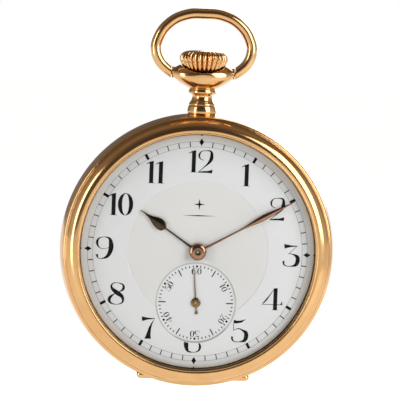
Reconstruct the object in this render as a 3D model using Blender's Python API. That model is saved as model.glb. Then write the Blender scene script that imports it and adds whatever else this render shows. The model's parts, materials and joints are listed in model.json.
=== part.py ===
"""An open face pocket watch with a stem-wound movement, built as its separate pieces.

The dial faces -Y, twelve o'clock and the pendant are at +Z, three o'clock is at +X.
The origin is the centre of the flat outer face of the back cover. Sizes below are in
millimetres; "depth" is the distance in front of that face, so a depth of d lies at y = -d.
"""
import math

import bmesh
import bpy
from mathutils import Matrix, Vector
from mathutils.geometry import delaunay_2d_cdt

MM = 0.001

# Driving dimensions of the case.
CASE_R = 25.0
RIM_R = 24.45
HINGE_FLAT_Z = -23.5
MOVEMENT_R = 21.4
BORE_R = 21.6
SIDES = 40

# Depths of the layers of the movement, from the back to the front.
WHEEL_TOP, WHEEL_BACK = 2.75, 3.3
BRIDGE_BACK, BRIDGE_FRONT = 3.4, 4.4
PLATE_BACK, PLATE_FRONT = 6.7, 8.0
DIAL_BACK, DIAL_FRONT = 8.7, 9.3
STEM_DEPTH = 5.75

# Centres of the movement, (x, z) seen from the dial side.
CENTRE = (0.0, 0.0)
BARREL = (6.9, 5.2)
THIRD = (4.43, -6.78)
FOURTH = (0.0, -9.3)
ESCAPE = (-4.3, -11.85)
PALLET = (-6.52, -8.89)
BALANCE = (-10.2, -4.0)
CROWN_WHEEL = (-0.6, 11.4)
MINUTE_WHEEL = (-1.5, 4.05)
SETTING_WHEEL = (0.0, 9.05)
CLICK_PIVOT = (13.9, 8.8)
LEVER_PIVOT = (5.6, 17.0)
YOKE_PIVOT = (-6.5, 12.2)
CASE_SCREWS = ((-19.27, 5.2), (19.85, -2.1))
BARREL_BRIDGE_SCREWS = ((18.3, 3.6), (9.4, 16.2))
TRAIN_BRIDGE_SCREWS = ((15.6, -10.2), (-5.6, -17.6))
COCK_SCREW = (-14.6, 9.6)
SHANK_R, SHANK_HOLE_R = 0.45, 0.55

# Where the hands stand, clockwise from twelve in degrees.
HOUR_BEARING, MINUTE_BEARING, SECONDS_BEARING = 304.5, 60.6, 355.0

# Hinges at six o'clock: tubes across the band, with their axes along X.
HINGE_Z = -22.9
BEZEL_HINGE_DEPTH, BEZEL_KNUCKLE_R = 7.95, 0.7
COVER_HINGE_DEPTH, COVER_KNUCKLE_R = 3.45, 0.6
HINGE_HALF = 10.3
PIN_R, PIN_HOLE_R = 0.25, 0.3

# Pendant, crown and bow, measured up the Z axis.
BOW_PIVOT_Z = 32.3
BOW_WIRE_R = 0.93
CUP_BOTTOM_Z, CUP_FRONT_Z, CUP_SIDE_Z = 29.3, 32.3, 33.7
STEM_HOLE_R = 1.0
FLUTES = 24
PINION_TEETH = 12


def clear_scene():
    for thing in list(bpy.data.objects):
        bpy.data.objects.remove(thing, do_unlink=True)


def material(name, colour, metallic, roughness):
    made = bpy.data.materials.new(name)
    made.use_nodes = True
    shader = made.node_tree.nodes["Principled BSDF"]
    shader.inputs["Base Color"].default_value = (*colour, 1.0)
    shader.inputs["Metallic"].default_value = metallic
    shader.inputs["Roughness"].default_value = roughness
    return made


clear_scene()
GOLD = material("case_gold", (0.83, 0.58, 0.33), 1.0, 0.2)
GILT = material("wheel_gilt", (0.80, 0.60, 0.28), 1.0, 0.3)
NICKEL = material("bridge_nickel", (0.72, 0.71, 0.68), 1.0, 0.32)
STEEL = material("polished_steel", (0.62, 0.63, 0.65), 1.0, 0.25)
BLUED = material("blued_steel", (0.05, 0.09, 0.30), 1.0, 0.25)
HAND_GOLD = material("hand_gold", (0.45, 0.26, 0.17), 1.0, 0.25)
ENAMEL = material("dial_enamel", (0.88, 0.89, 0.89), 0.0, 0.15)
GLASS = material("crystal_glass", (0.96, 0.97, 0.97), 0.0, 0.03)
RUBY = material("jewel_ruby", (0.55, 0.03, 0.08), 0.0, 0.1)

watch = bpy.data.objects.new("watch", None)
bpy.context.collection.objects.link(watch)


# ---------------------------------------------------------------- making solids

def place(mesh_data, name, finish, origin):
    """Make an object of a bmesh in millimetres, with its origin at a point of the watch."""
    bmesh.ops.recalc_face_normals(mesh_data, faces=mesh_data.faces)
    mesh_data.transform(Matrix.Scale(MM, 4) @ Matrix.Translation(-Vector(origin)))
    mesh = bpy.data.meshes.new(name)
    mesh_data.to_mesh(mesh)
    mesh_data.free()
    mesh.shade_smooth()
    mesh.set_sharp_from_angle(angle=math.radians(35))
    mesh.materials.append(finish)
    piece = bpy.data.objects.new(name, mesh)
    piece.location = Vector(origin) * MM
    piece.parent = watch
    bpy.context.collection.objects.link(piece)
    return piece


def ring(radius, centre=CENTRE, count=SIDES):
    """A circle in the plane of the dial."""
    step = math.tau / count
    return [
        (centre[0] + radius * math.cos(i * step), centre[1] + radius * math.sin(i * step))
        for i in range(count)
    ]


def arc(radius, start, end, centre=CENTRE, step=10.0):
    """Points along an arc, its angles in degrees from +X towards +Z."""
    count = max(2, round(abs(end - start) / step) + 1)
    turns = [math.radians(start + (end - start) * i / (count - 1)) for i in range(count)]
    return [(centre[0] + radius * math.cos(a), centre[1] + radius * math.sin(a)) for a in turns]


def toothed(centre, tip, root, teeth):
    """The outline of a wheel with pointed teeth."""
    half = math.pi / teeth
    return [
        (
            centre[0] + (tip if i % 2 == 0 else root) * math.cos(i * half),
            centre[1] + (tip if i % 2 == 0 else root) * math.sin(i * half),
        )
        for i in range(2 * teeth)
    ]


def capsule(a, radius_a, b, radius_b, count=6):
    """The outline of a lever: two round ends joined by straight sides."""
    way = math.degrees(math.atan2(b[1] - a[1], b[0] - a[0]))
    lean = math.degrees(math.asin((radius_a - radius_b) / math.dist(a, b)))
    step = 180.0 / count
    far = arc(radius_b, way - 90 + lean, way + 90 - lean, b, step)
    near = arc(radius_a, way + 90 - lean, way + 270 + lean, a, step)
    return far + near


def box_outline(left, right, low, high):
    return [(left, low), (right, low), (right, high), (left, high)]


def inside(point, loops):
    """True where an odd number of the loops surround a point."""
    odd = False
    for loop in loops:
        for (x0, z0), (x1, z1) in zip(loop, loop[1:] + loop[:1]):
            if (z0 > point[1]) != (z1 > point[1]):
                if point[0] < x0 + (point[1] - z0) * (x1 - x0) / (z1 - z0):
                    odd = not odd
    return odd


def fill(loops):
    """Triangles over the area between loops, as indices into their points in turn."""
    points = [Vector(p) for loop in loops for p in loop]
    edges, first = [], 0
    for loop in loops:
        edges += [(first + i, first + (i + 1) % len(loop)) for i in range(len(loop))]
        first += len(loop)
    found, _, faces, source, _, _ = delaunay_2d_cdt(points, edges, [], 0, 1e-7)
    kept = []
    for face in faces:
        middle = sum((found[i] for i in face), Vector((0.0, 0.0))) / 3
        if inside(middle, loops):
            kept.append([source[i][0] for i in face])
    return kept


def stack(name, finish, layers, origin=(0.0, 0.0, 0.0)):
    """A solid of flat layers. Each layer is (back depth, front depth, loops): the outer
    outline and any holes or islands. A loop that two layers share runs on as one wall."""
    build = bmesh.new()
    corners = {}

    def at(loop, depth):
        key = (id(loop), depth)
        if key not in corners:
            corners[key] = [build.verts.new((x, -depth, z)) for x, z in loop]
        return corners[key]

    depths = sorted({d for back, front, _ in layers for d in (back, front)})
    for back, front, loops in layers:
        for loop in loops:
            a, b = at(loop, back), at(loop, front)
            for i in range(len(loop)):
                j = (i + 1) % len(loop)
                build.faces.new((a[i], a[j], b[j], b[i]))
    for depth in depths:
        ending = {id(l): l for _, front, loops in layers if front == depth for l in loops}
        starting = {id(l): l for back, _, loops in layers if back == depth for l in loops}
        edge_loops = [l for k, l in ending.items() if k not in starting]
        edge_loops += [l for k, l in starting.items() if k not in ending]
        flat = [v for l in edge_loops for v in at(l, depth)]
        for triangle in fill(edge_loops):
            build.faces.new([flat[i] for i in triangle])
    return place(build, name, finish, origin)


def turned(name, finish, profile, along="Y", centre=(0.0, 0.0, 0.0), sides=SIDES, wave=None):
    """A solid turned about an axis. The profile is (radius, height) points round the section;
    height runs to the front along Y, or up along Z. wave(angle, height) scales the radius."""
    build = bmesh.new()
    rows = []
    for radius, height in profile:
        count = 1 if radius == 0 else sides
        row = []
        for i in range(count):
            angle = math.tau * i / sides
            grown = radius * (wave(angle, height) if wave else 1.0)
            across, over = grown * math.cos(angle), grown * math.sin(angle)
            offset = (across, -height, over) if along == "Y" else (across, over, height)
            row.append(build.verts.new(Vector(centre) + Vector(offset)))
        rows.append(row)
    closed = profile[0][0] != 0
    for k in range(len(rows) if closed else len(rows) - 1):
        low, high = rows[k], rows[(k + 1) % len(rows)]
        for i in range(sides):
            j = (i + 1) % sides
            face = [low[i % len(low)], low[j % len(low)], high[j % len(high)], high[i % len(high)]]
            face = list(dict.fromkeys(face))
            if len(face) > 2:
                build.faces.new(face)
    return place(build, name, finish, centre)


def rod(name, finish, start, end, radius, sides=16):
    """A plain cylinder from one point to another."""
    build = bmesh.new()
    span = Vector(end) - Vector(start)
    turn = span.to_track_quat("Z", "Y").to_matrix().to_4x4()
    middle = Matrix.Translation((Vector(start) + Vector(end)) / 2)
    bmesh.ops.create_cone(
        build, cap_ends=True, segments=sides, radius1=radius, radius2=radius,
        depth=span.length, matrix=middle @ turn,
    )
    return place(build, name, finish, start)


def block(name, x_range, z_range, depth_range):
    """A plain box, as a cutter or as metal to join on."""
    build = bmesh.new()
    bmesh.ops.create_cube(build, size=1.0)
    sizes = [x_range[1] - x_range[0], depth_range[1] - depth_range[0], z_range[1] - z_range[0]]
    middle = (sum(x_range) / 2, -sum(depth_range) / 2, sum(z_range) / 2)
    build.transform(Matrix.Translation(middle) @ Matrix.Diagonal((*sizes, 1.0)))
    return place(build, name, GOLD, middle)


def combine(piece, tools, operation):
    """Apply Booleans to a piece and remove the tools that they used."""
    for tool in tools:
        change = piece.modifiers.new(operation, "BOOLEAN")
        change.operation = operation
        change.solver = "EXACT"
        change.object = tool
        graph = bpy.context.evaluated_depsgraph_get()
        made = bpy.data.meshes.new_from_object(piece.evaluated_get(graph))
        piece.modifiers.remove(change)
        piece.data = made
        bpy.data.objects.remove(tool, do_unlink=True)


def knuckle(left, right, depth, radius):
    """One tube of a hinge at six o'clock, solid until its pin hole is cut."""
    return rod("knuckle", GOLD, (left, -depth, HINGE_Z), (right, -depth, HINGE_Z), radius)


def pin_hole(depth):
    reach = HINGE_HALF + 1.0
    return rod("pin_hole", GOLD, (-reach, -depth, HINGE_Z), (reach, -depth, HINGE_Z), PIN_HOLE_R)


def trimmer():
    """A cutter that leaves a lid's rim straight along its hinge, so that it can swing."""
    return block("trimmer", (-12.0, 12.0), (-26.0, HINGE_FLAT_Z), (-1.0, 14.0))


def screw(name, finish, centre, head_r, head_back, head_front, shank_r, shank_front):
    """A cheese-head screw whose head is towards the back of the watch."""
    head, shank = ring(head_r, centre, 14), ring(shank_r, centre, 8)
    layers = [(head_back, head_front, [head]), (head_front, shank_front, [shank])]
    return stack(name, finish, layers)


def spiral(name, finish, centre, start_r, end_r, turns, thickness, depth_range, per_turn=10):
    """A flat coiled strip of spring."""
    build = bmesh.new()
    rows = []
    count = int(turns * per_turn)
    for i in range(count + 1):
        angle = math.tau * i / per_turn
        radius = start_r + (end_r - start_r) * i / count
        row = []
        for side, depth in ((-1, 0), (1, 0), (1, 1), (-1, 1)):
            r = radius + side * thickness / 2
            x, z = centre[0] + r * math.cos(angle), centre[1] + r * math.sin(angle)
            row.append(build.verts.new((x, -depth_range[depth], z)))
        rows.append(row)
    for a, b in zip(rows, rows[1:]):
        for k in range(4):
            build.faces.new((a[k], a[(k + 1) % 4], b[(k + 1) % 4], b[k]))
    build.faces.new(rows[0])
    build.faces.new(rows[-1])
    return place(build, name, finish, (centre[0], 0.0, centre[1]))


def pivot_of(centre, depth=0.0):
    return (centre[0], -depth, centre[1])


# ---------------------------------------------------------------- the case

def make_case_middle():
    """The band: lips for the cuvette, cover and bezel, a ledge for the plate, two hinge seats."""
    profile = [
        (21.15, 2.6), (21.75, 2.6), (21.75, 2.95), (22.45, 2.95), (22.45, 2.35), (23.25, 2.35),
        (23.3, 2.8), (24.1, 2.8), (24.75, 4.0), (CASE_R, 5.4), (CASE_R, 6.1), (24.75, 7.5),
        (24.5, 8.65), (22.4, 8.65), (22.4, 9.0), (BORE_R, 9.0), (BORE_R, 6.65), (20.7, 6.65),
        (20.7, 6.1), (21.15, 6.1),
    ]
    band = turned("case_middle", GOLD, profile)
    seat = HINGE_HALF + 0.1
    knuckles = []
    for depth, radius, inner in (
        (BEZEL_HINGE_DEPTH, BEZEL_KNUCKLE_R, 3.45),
        (COVER_HINGE_DEPTH, COVER_KNUCKLE_R, 6.6),
    ):
        for left, right in ((-HINGE_HALF, -inner), (inner, HINGE_HALF)):
            knuckles.append(knuckle(left, right, depth, radius))
            reach = radius - 0.1
            knuckles.append(block("web", (left, right), (-21.7, HINGE_Z), (depth - reach, depth + reach)))
    combine(band, [
        block("front_seat", (-seat, seat), (-26.0, -21.95), (6.6, 9.5)),
        block("back_seat", (-seat, seat), (-26.0, -21.95), (2.0, 4.75)),
        block("cuvette_room", (-seat, seat), (-26.0, -19.7), (2.0, 3.0)),
        rod("stem_hole", GOLD, (0, -STEM_DEPTH, 19.0), (0, -STEM_DEPTH, 27.0), STEM_HOLE_R),
        rod("pendant_seat", GOLD, (0, -STEM_DEPTH, 24.35), (0, -STEM_DEPTH, 27.0), 2.4, 24),
    ], "DIFFERENCE")
    combine(band, knuckles, "UNION")
    combine(band, [pin_hole(BEZEL_HINGE_DEPTH), pin_hole(COVER_HINGE_DEPTH)], "DIFFERENCE")


def make_bezel():
    """The front ring. A groove holds the crystal; the middle hinge tube is part of it."""
    profile = [
        (22.5, 8.7), (RIM_R, 8.7), (24.35, 9.7), (23.7, 10.7), (22.8, 11.25), (21.95, 11.35),
        (21.5, 11.2), (21.5, 11.0), (21.9, 10.95), (21.9, 10.25), (21.35, 10.2), (21.35, 9.5),
        (22.5, 9.3),
    ]
    bezel = turned("bezel", GOLD, profile)
    combine(bezel, [trimmer()], "DIFFERENCE")
    combine(bezel, [
        knuckle(-3.35, 3.35, BEZEL_HINGE_DEPTH, BEZEL_KNUCKLE_R),
        block("web", (-3.3, 3.3), (-23.5, -22.6), (BEZEL_HINGE_DEPTH, 9.0)),
    ], "UNION")
    combine(bezel, [pin_hole(BEZEL_HINGE_DEPTH)], "DIFFERENCE")


def make_back():
    """The back cover and, inside it, the cuvette. Both turn on the rear hinge pin."""
    cover = turned("back_cover", GOLD, [
        (0, 0), (15.0, 0), (19.0, 0.25), (22.0, 0.8), (23.6, 1.6), (24.0, 2.3), (24.0, 2.7),
        (23.4, 2.7), (23.3, 2.1), (21.8, 1.35), (18.8, 0.75), (15.0, 0.5), (0, 0.5),
    ])
    combine(cover, [trimmer()], "DIFFERENCE")
    cover_parts = []
    for left, right in ((-6.5, -2.6), (2.6, 6.5)):
        cover_parts.append(knuckle(left, right, COVER_HINGE_DEPTH, COVER_KNUCKLE_R))
        cover_parts.append(block("web", (left, right), (-23.45, -22.6), (2.4, COVER_HINGE_DEPTH)))
    combine(cover, cover_parts, "UNION")
    combine(cover, [pin_hole(COVER_HINGE_DEPTH)], "DIFFERENCE")

    cuvette = turned("cuvette", GOLD, [
        (0, 1.0), (19.5, 1.0), (21.5, 1.9), (22.3, 2.5), (22.3, 2.9), (21.9, 2.9),
        (21.9, 2.55), (21.3, 2.25), (19.3, 1.35), (0, 1.35),
    ])
    combine(cuvette, [
        knuckle(-2.5, 2.5, COVER_HINGE_DEPTH, COVER_KNUCKLE_R),
        block("web", (-2.4, 2.4), (-23.1, -22.0), (2.6, COVER_HINGE_DEPTH)),
    ], "UNION")
    combine(cuvette, [pin_hole(COVER_HINGE_DEPTH)], "DIFFERENCE")


def make_hinge_pins():
    for name, depth in (("bezel_hinge_pin", BEZEL_HINGE_DEPTH), ("cover_hinge_pin", COVER_HINGE_DEPTH)):
        rod(name, STEEL, (-10.2, -depth, HINGE_Z), (10.2, -depth, HINGE_Z), PIN_R, 12)


def make_crystal():
    turned("crystal", GLASS, [
        (0, 13.0), (8.0, 12.85), (14.0, 12.4), (18.5, 11.8), (21.2, 11.1), (21.8, 10.85),
        (21.8, 10.35), (21.0, 10.45), (18.3, 11.15), (13.8, 11.75), (8.0, 12.2), (0, 12.35),
    ])


def cup_rim(angle):
    """The cup's rim is a saddle: low at the front and back, high towards the bow's ends."""
    return CUP_FRONT_Z + (CUP_SIDE_Z - CUP_FRONT_Z) * abs(math.cos(angle)) ** 2.2


def make_pendant():
    """The turned neck, hollow for the stem, and the boat-shaped cup that the bow turns in."""
    neck = turned("pendant", GOLD, [
        (0, 24.4), (2.3, 24.4), (2.5, 25.2), (2.25, 26.2), (2.2, 26.7), (1.78, 27.9), (1.9, 28.35),
        (2.43, 28.6), (2.43, 29.6), (0, 29.6),
    ], along="Z", centre=(0.0, -STEM_DEPTH, 0.0), sides=20)
    sides, build = 20, bmesh.new()
    outer = [(0.0, 1.6, 1.6), (0.06, 2.6, 2.4), (0.35, 4.1, 3.3), (0.7, 4.75, 3.8), (1.0, 4.7, 3.9)]
    inner = [(1.0, 4.15, 3.5), (0.72, 4.1, 3.45), (0.5, 3.6, 3.1), (0.32, 1.2, 1.2)]
    rows = []
    for share, wide, deep in outer + inner:
        row = []
        for i in range(sides):
            angle = math.tau * i / sides
            z = CUP_BOTTOM_Z + share * (cup_rim(angle) - CUP_BOTTOM_Z)
            row.append(build.verts.new((wide * math.cos(angle), deep * math.sin(angle) - STEM_DEPTH, z)))
        rows.append(row)
    for low, high in zip(rows, rows[1:]):
        for i in range(sides):
            j = (i + 1) % sides
            build.faces.new((low[i], low[j], high[j], high[i]))
    for row in (rows[0], rows[-1]):
        build.faces.new(row)
    cup = place(build, "cup", GOLD, (0.0, -STEM_DEPTH, CUP_BOTTOM_Z))
    bosses = [
        rod("boss", GOLD, (s * 4.2, -STEM_DEPTH, BOW_PIVOT_Z), (s * 5.65, -STEM_DEPTH, BOW_PIVOT_Z), 0.95)
        for s in (-1, 1)
    ]
    combine(neck, [cup, *bosses], "UNION")
    holes = [
        rod("hole", GOLD, (s * 4.9, -STEM_DEPTH, BOW_PIVOT_Z), (s * 6.0, -STEM_DEPTH, BOW_PIVOT_Z), 0.5)
        for s in (-1, 1)
    ]
    bore = rod("bore", GOLD, (0, -STEM_DEPTH, 24.0), (0, -STEM_DEPTH, 31.0), STEM_HOLE_R + 0.2, 24)
    combine(neck, [bore, *holes], "DIFFERENCE")


def bow_centreline():
    """Half of the bow, from the middle of its top down to the turned-in end at its pivot."""
    top = [(0.0, 43.07), (1.8, 42.95), (3.4, 42.65), (5.0, 42.0), (6.5, 40.9), (7.7, 39.5), (8.45, 37.9)]
    side = [(8.7, 36.5), (8.5, 35.1), (7.95, 33.95), (7.15, 33.0), (6.5, 32.5), (5.75, BOW_PIVOT_Z)]
    return top + side


def make_bow():
    """A ring of round wire whose ends turn in and carry a tenon each, sprung into the cup."""
    half = bow_centreline()
    route = [(-x, z) for x, z in reversed(half[1:])] + half
    build, rows, sides = bmesh.new(), [], 10
    for k, (x, z) in enumerate(route):
        before, after = route[max(k - 1, 0)], route[min(k + 1, len(route) - 1)]
        along = Vector((after[0] - before[0], 0.0, after[1] - before[1])).normalized()
        if k in (0, len(route) - 1):
            along = Vector((-1.0, 0.0, 0.0))
        across = Vector((-along.z, 0.0, along.x))
        row = []
        for i in range(sides):
            angle = math.tau * i / sides
            offset = across * math.cos(angle) + Vector((0.0, 1.0, 0.0)) * math.sin(angle)
            row.append(build.verts.new(Vector((x, -STEM_DEPTH, z)) + offset * BOW_WIRE_R))
        rows.append(row)
    for low, high in zip(rows, rows[1:]):
        for i in range(sides):
            j = (i + 1) % sides
            build.faces.new((low[i], low[j], high[j], high[i]))
    for row in (rows[0], rows[-1]):
        build.faces.new(row)
    bow = place(build, "bow", GOLD, (0.0, -STEM_DEPTH, BOW_PIVOT_Z))
    combine(bow, [
        rod("tenon", GOLD, (s * 5.0, -STEM_DEPTH, BOW_PIVOT_Z), (s * 6.2, -STEM_DEPTH, BOW_PIVOT_Z), 0.42)
        for s in (-1, 1)
    ], "UNION")


def make_crown_and_stem():
    """The fluted crown, and the stem that its core is screwed on."""
    def flutes(angle, height):
        return 1.0 + (0.035 * math.cos(FLUTES * angle) if 32.0 < height < 35.0 else 0.0)

    axis = (0.0, -STEM_DEPTH, 0.0)
    turned("crown", GOLD, [
        (0, 33.0), (0.8, 33.0), (0.8, 31.2), (2.7, 31.2), (3.15, 32.3), (4.1, 34.2), (4.2, 34.8),
        (4.0, 35.4), (3.0, 36.2), (0, 36.5),
    ], along="Z", centre=axis, sides=2 * FLUTES, wave=flutes)
    turned("winding_stem", STEEL, [
        (0, 11.2), (0.35, 11.2), (0.35, 11.8), (0.5, 11.9), (0.5, 16.3), (0.6, 16.4), (0.6, 17.4),
        (0.35, 17.45), (0.35, 18.15), (0.75, 18.2), (0.75, 32.9), (0, 32.9),
    ], along="Z", centre=axis, sides=12)


# ---------------------------------------------------------------- winding and setting

def make_pinions_on_the_stem():
    """The winding pinion drives the crown wheel; the sliding pinion slides on the stem."""
    def teeth(angle, height):
        return 1.0 + (0.05 * math.cos(PINION_TEETH * angle) if 14.6 < height < 15.55 else 0.0)

    axis = (0.0, -STEM_DEPTH, 0.0)
    turned("winding_pinion", STEEL, [
        (0.6, 14.15), (1.5, 14.15), (1.5, 14.6), (1.9, 14.65), (2.0, 15.5), (1.2, 15.6),
        (1.2, 16.2), (0.6, 16.2),
    ], along="Z", centre=axis, sides=2 * PINION_TEETH, wave=teeth)
    turned("sliding_pinion", STEEL, [
        (0.6, 12.1), (1.3, 12.1), (1.3, 12.7), (0.95, 12.75), (0.95, 13.35), (1.3, 13.4), (1.3, 14.1),
        (0.6, 14.1),
    ], along="Z", centre=axis, sides=16)


def make_winding_train():
    """On the barrel bridge: crown wheel and ratchet wheel with their screws, and the click."""
    stack("crown_wheel", STEEL, [
        (WHEEL_TOP, WHEEL_BACK, [toothed(CROWN_WHEEL, 3.66, 3.3, 30), ring(0.6, CROWN_WHEEL, 12)]),
    ], pivot_of(CROWN_WHEEL))
    stack("ratchet_wheel", STEEL, [
        (WHEEL_TOP, WHEEL_BACK, [toothed(BARREL, 5.98, 5.6, 49), ring(0.6, BARREL, 12)]),
    ], pivot_of(BARREL))
    screw("crown_wheel_screw", BLUED, CROWN_WHEEL, 1.6, 2.3, 2.7, 0.5, 4.2)
    screw("ratchet_screw", BLUED, BARREL, 1.5, 2.3, 2.7, 0.25, 3.4)
    beak = (BARREL[0] + 6.35 * math.cos(math.radians(50)), BARREL[1] + 6.35 * math.sin(math.radians(50)))
    stack("click", STEEL, [
        (WHEEL_TOP + 0.1, WHEEL_BACK, [capsule(CLICK_PIVOT, 0.8, beak, 0.25), ring(0.3, CLICK_PIVOT, 8)]),
    ], pivot_of(CLICK_PIVOT))
    band = arc(7.95, -24, 18, BARREL, 6) + arc(7.75, 18, -24, BARREL, 6)
    stack("click_spring", STEEL, [(WHEEL_TOP + 0.1, WHEEL_BACK, [band])])


def make_setting_parts():
    """Under the dial: setting lever, yoke, setting wheel and the motion works."""
    lever_back, lever_front = 8.1, 8.4
    finger = box_outline(0.45, 1.0, 17.65, 17.95)
    stack("setting_lever", STEEL, [
        (STEM_DEPTH, lever_back, [finger]),
        (lever_back, lever_front, [
            capsule(LEVER_PIVOT, 1.1, (0.75, 17.8), 0.45), ring(0.32, LEVER_PIVOT, 8),
        ]),
    ], pivot_of(LEVER_PIVOT))
    finger = box_outline(-1.35, -1.05, 12.92, 13.18)
    stack("yoke", STEEL, [
        (STEM_DEPTH, lever_back, [finger]),
        (lever_back, lever_front, [
            capsule(YOKE_PIVOT, 1.0, (-1.3, 13.05), 0.35), ring(0.32, YOKE_PIVOT, 8),
        ]),
    ], pivot_of(YOKE_PIVOT))
    stack("setting_wheel", STEEL, [
        (8.05, 8.35, [toothed(SETTING_WHEEL, 1.95, 1.65, 22), ring(0.32, SETTING_WHEEL, 8)]),
    ], pivot_of(SETTING_WHEEL))
    bore = ring(0.3, MINUTE_WHEEL, 8)
    stack("minute_wheel", GILT, [
        (8.05, 8.3, [toothed(MINUTE_WHEEL, 3.2, 2.9, 36), bore]),
        (8.3, 8.62, [ring(0.8, MINUTE_WHEEL, 10), bore]),
    ], pivot_of(MINUTE_WHEEL))
    bore = ring(0.64, CENTRE, 12)
    stack("hour_wheel", GILT, [
        (8.4, 8.6, [toothed(CENTRE, 3.42, 3.15, 40), bore]),
        (8.6, 9.75, [ring(0.85, CENTRE, 12), bore]),
    ])
    bore = ring(0.36, CENTRE, 12)
    stack("cannon_pinion", STEEL, [
        (8.05, 8.3, [toothed(CENTRE, 1.05, 0.8, 12), bore]),
        (8.3, 10.3, [ring(0.55, CENTRE, 12), bore]),
    ])


# ---------------------------------------------------------------- plates and bridges

def make_mainplate():
    """The plate that carries everything, cut through for the pinions on the stem."""
    slot = box_outline(-2.4, 2.4, 10.9, 19.0)
    pivots = [ring(0.3, c, 8) for c in (THIRD, FOURTH, ESCAPE, PALLET, BALANCE)]
    holes = [ring(0.75, CENTRE, 12), ring(0.75, BARREL, 12), slot, *pivots]
    holes += [ring(0.6, c, 10) for c in CASE_SCREWS]
    posts = [ring(0.25, c, 8) for c in (MINUTE_WHEEL, SETTING_WHEEL, LEVER_PIVOT, YOKE_PIVOT)]
    stack("mainplate", NICKEL, [
        (PLATE_BACK, PLATE_FRONT, [ring(MOVEMENT_R), *holes]),
        (PLATE_FRONT, 8.45, posts),
    ])


def make_bridges():
    """Bridges stand on the mainplate by their feet, which are in one piece with them."""
    foot_front = PLATE_BACK - 0.05

    def screw_holes(*sites):
        return [ring(SHANK_HOLE_R, site, 8) for site in sites]

    post = ring(0.25, CLICK_PIVOT, 8)
    outline = arc(20.5, 2, 116) + [(-7.4, 9.0), (-4.4, 1.0), (-2.8, -1.8), (1.5, -2.6), (9.0, -1.2)]
    holes = [ring(0.75, BARREL, 12), ring(0.4, CENTRE, 8), ring(0.55, CROWN_WHEEL, 12)]
    holes.append(box_outline(-2.4, 2.4, 13.9, 16.5))
    feet = [
        arc(20.3, 5, 66) + arc(17.0, 66, 5),
        arc(20.3, 98, 114, step=8) + arc(17.5, 114, 98, step=8),
    ]
    through = screw_holes(*BARREL_BRIDGE_SCREWS)
    stack("barrel_bridge", NICKEL, [
        (WHEEL_TOP, BRIDGE_BACK, [post]),
        (BRIDGE_BACK, BRIDGE_FRONT, [outline, *holes, *through]),
        (BRIDGE_FRONT, foot_front, [*feet, *through]),
    ])
    outline = arc(20.5, -117, -13) + [(14.0, -4.2), (1.5, -4.0), (-1.6, -6.2), (-5.2, -9.9), (-6.9, -13.6)]
    holes = [ring(0.6, c, 12) for c in (THIRD, FOURTH, ESCAPE)]
    feet = [arc(20.3, -113, -17) + arc(16.7, -17, -113)]
    through = screw_holes(*TRAIN_BRIDGE_SCREWS)
    stack("train_bridge", NICKEL, [
        (BRIDGE_BACK, BRIDGE_FRONT, [outline, *holes, *through]),
        (BRIDGE_FRONT, foot_front, [*feet, *through]),
    ])
    cock_foot = (-13.6, 8.2)
    through = screw_holes(COCK_SCREW)
    cock = [capsule(cock_foot, 4.2, BALANCE, 2.6, 10), ring(0.9, BALANCE, 12)]
    stack("balance_cock", NICKEL, [
        (BRIDGE_BACK, BRIDGE_FRONT, [*cock, *through]),
        (BRIDGE_FRONT, foot_front, [ring(3.2, (-13.9, 8.7), 16), *through]),
    ])
    pallet_foot = (-9.6, -13.6)
    stack("pallet_cock", NICKEL, [
        (5.75, 6.05, [capsule(pallet_foot, 1.3, PALLET, 0.9), ring(0.25, PALLET, 8)]),
        (6.05, foot_front, [ring(1.0, pallet_foot, 10)]),
    ])


def make_frame_screws():
    """Screws through the feet of the bridges, and the two that hold the movement in its case."""
    sites = {
        "barrel_bridge_screw_a": BARREL_BRIDGE_SCREWS[0],
        "barrel_bridge_screw_b": BARREL_BRIDGE_SCREWS[1],
        "train_bridge_screw_a": TRAIN_BRIDGE_SCREWS[0],
        "train_bridge_screw_b": TRAIN_BRIDGE_SCREWS[1],
        "balance_cock_screw": COCK_SCREW,
    }
    for name, site in sites.items():
        screw(name, BLUED, site, 1.0, 2.95, 3.35, SHANK_R, 6.5)
    for name, site in zip(("case_screw_left", "case_screw_right"), CASE_SCREWS):
        screw(name, BLUED, site, 1.15, 5.7, 6.05, 0.5, 7.6)


def make_jewels():
    """Pierced jewels for the train in their bridge, and the balance's end stone in its cock."""
    for name, site in (("third_jewel", THIRD), ("fourth_jewel", FOURTH), ("escape_jewel", ESCAPE)):
        stack(name, RUBY, [(BRIDGE_BACK, BRIDGE_FRONT - 0.1, [ring(0.55, site, 10), ring(0.22, site, 8)])])
    stack("balance_end_stone", RUBY, [(3.0, 3.6, [ring(0.8, BALANCE, 12)])])


# ---------------------------------------------------------------- power and going train

def make_barrel():
    """The barrel is a toothed drum with a lid; the mainspring is coiled on the arbor in it."""
    drum, cavity, hole = ring(7.2, BARREL, 32), ring(6.8, BARREL, 32), ring(0.75, BARREL, 12)
    stack("barrel", GILT, [
        (4.95, 5.95, [drum, cavity]),
        (5.95, 6.35, [toothed(BARREL, 7.63, 7.35, 80), cavity]),
        (6.35, 6.6, [ring(7.2, BARREL, 32), hole]),
    ], pivot_of(BARREL))
    stack("barrel_lid", GILT, [(4.98, 5.2, [ring(6.7, BARREL, 32), hole])], pivot_of(BARREL))
    inner = ring(0.32, BARREL, 8)
    shaft = ring(0.55, BARREL, 12)
    stack("barrel_arbor", STEEL, [
        (2.78, 3.6, [shaft, inner]),
        (3.6, 5.28, [shaft]),
        (5.28, 6.28, [ring(1.5, BARREL, 12)]),
        (6.28, 7.9, [ring(0.55, BARREL, 12)]),
    ], pivot_of(BARREL))
    spiral("mainspring", BLUED, BARREL, 1.8, 6.5, 6, 0.16, (5.3, 6.25))


def wheel(name, finish, centre, layers):
    """A train wheel, as layers from its rear pivot to its front one."""
    stack(name, finish, layers, pivot_of(centre))


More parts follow.
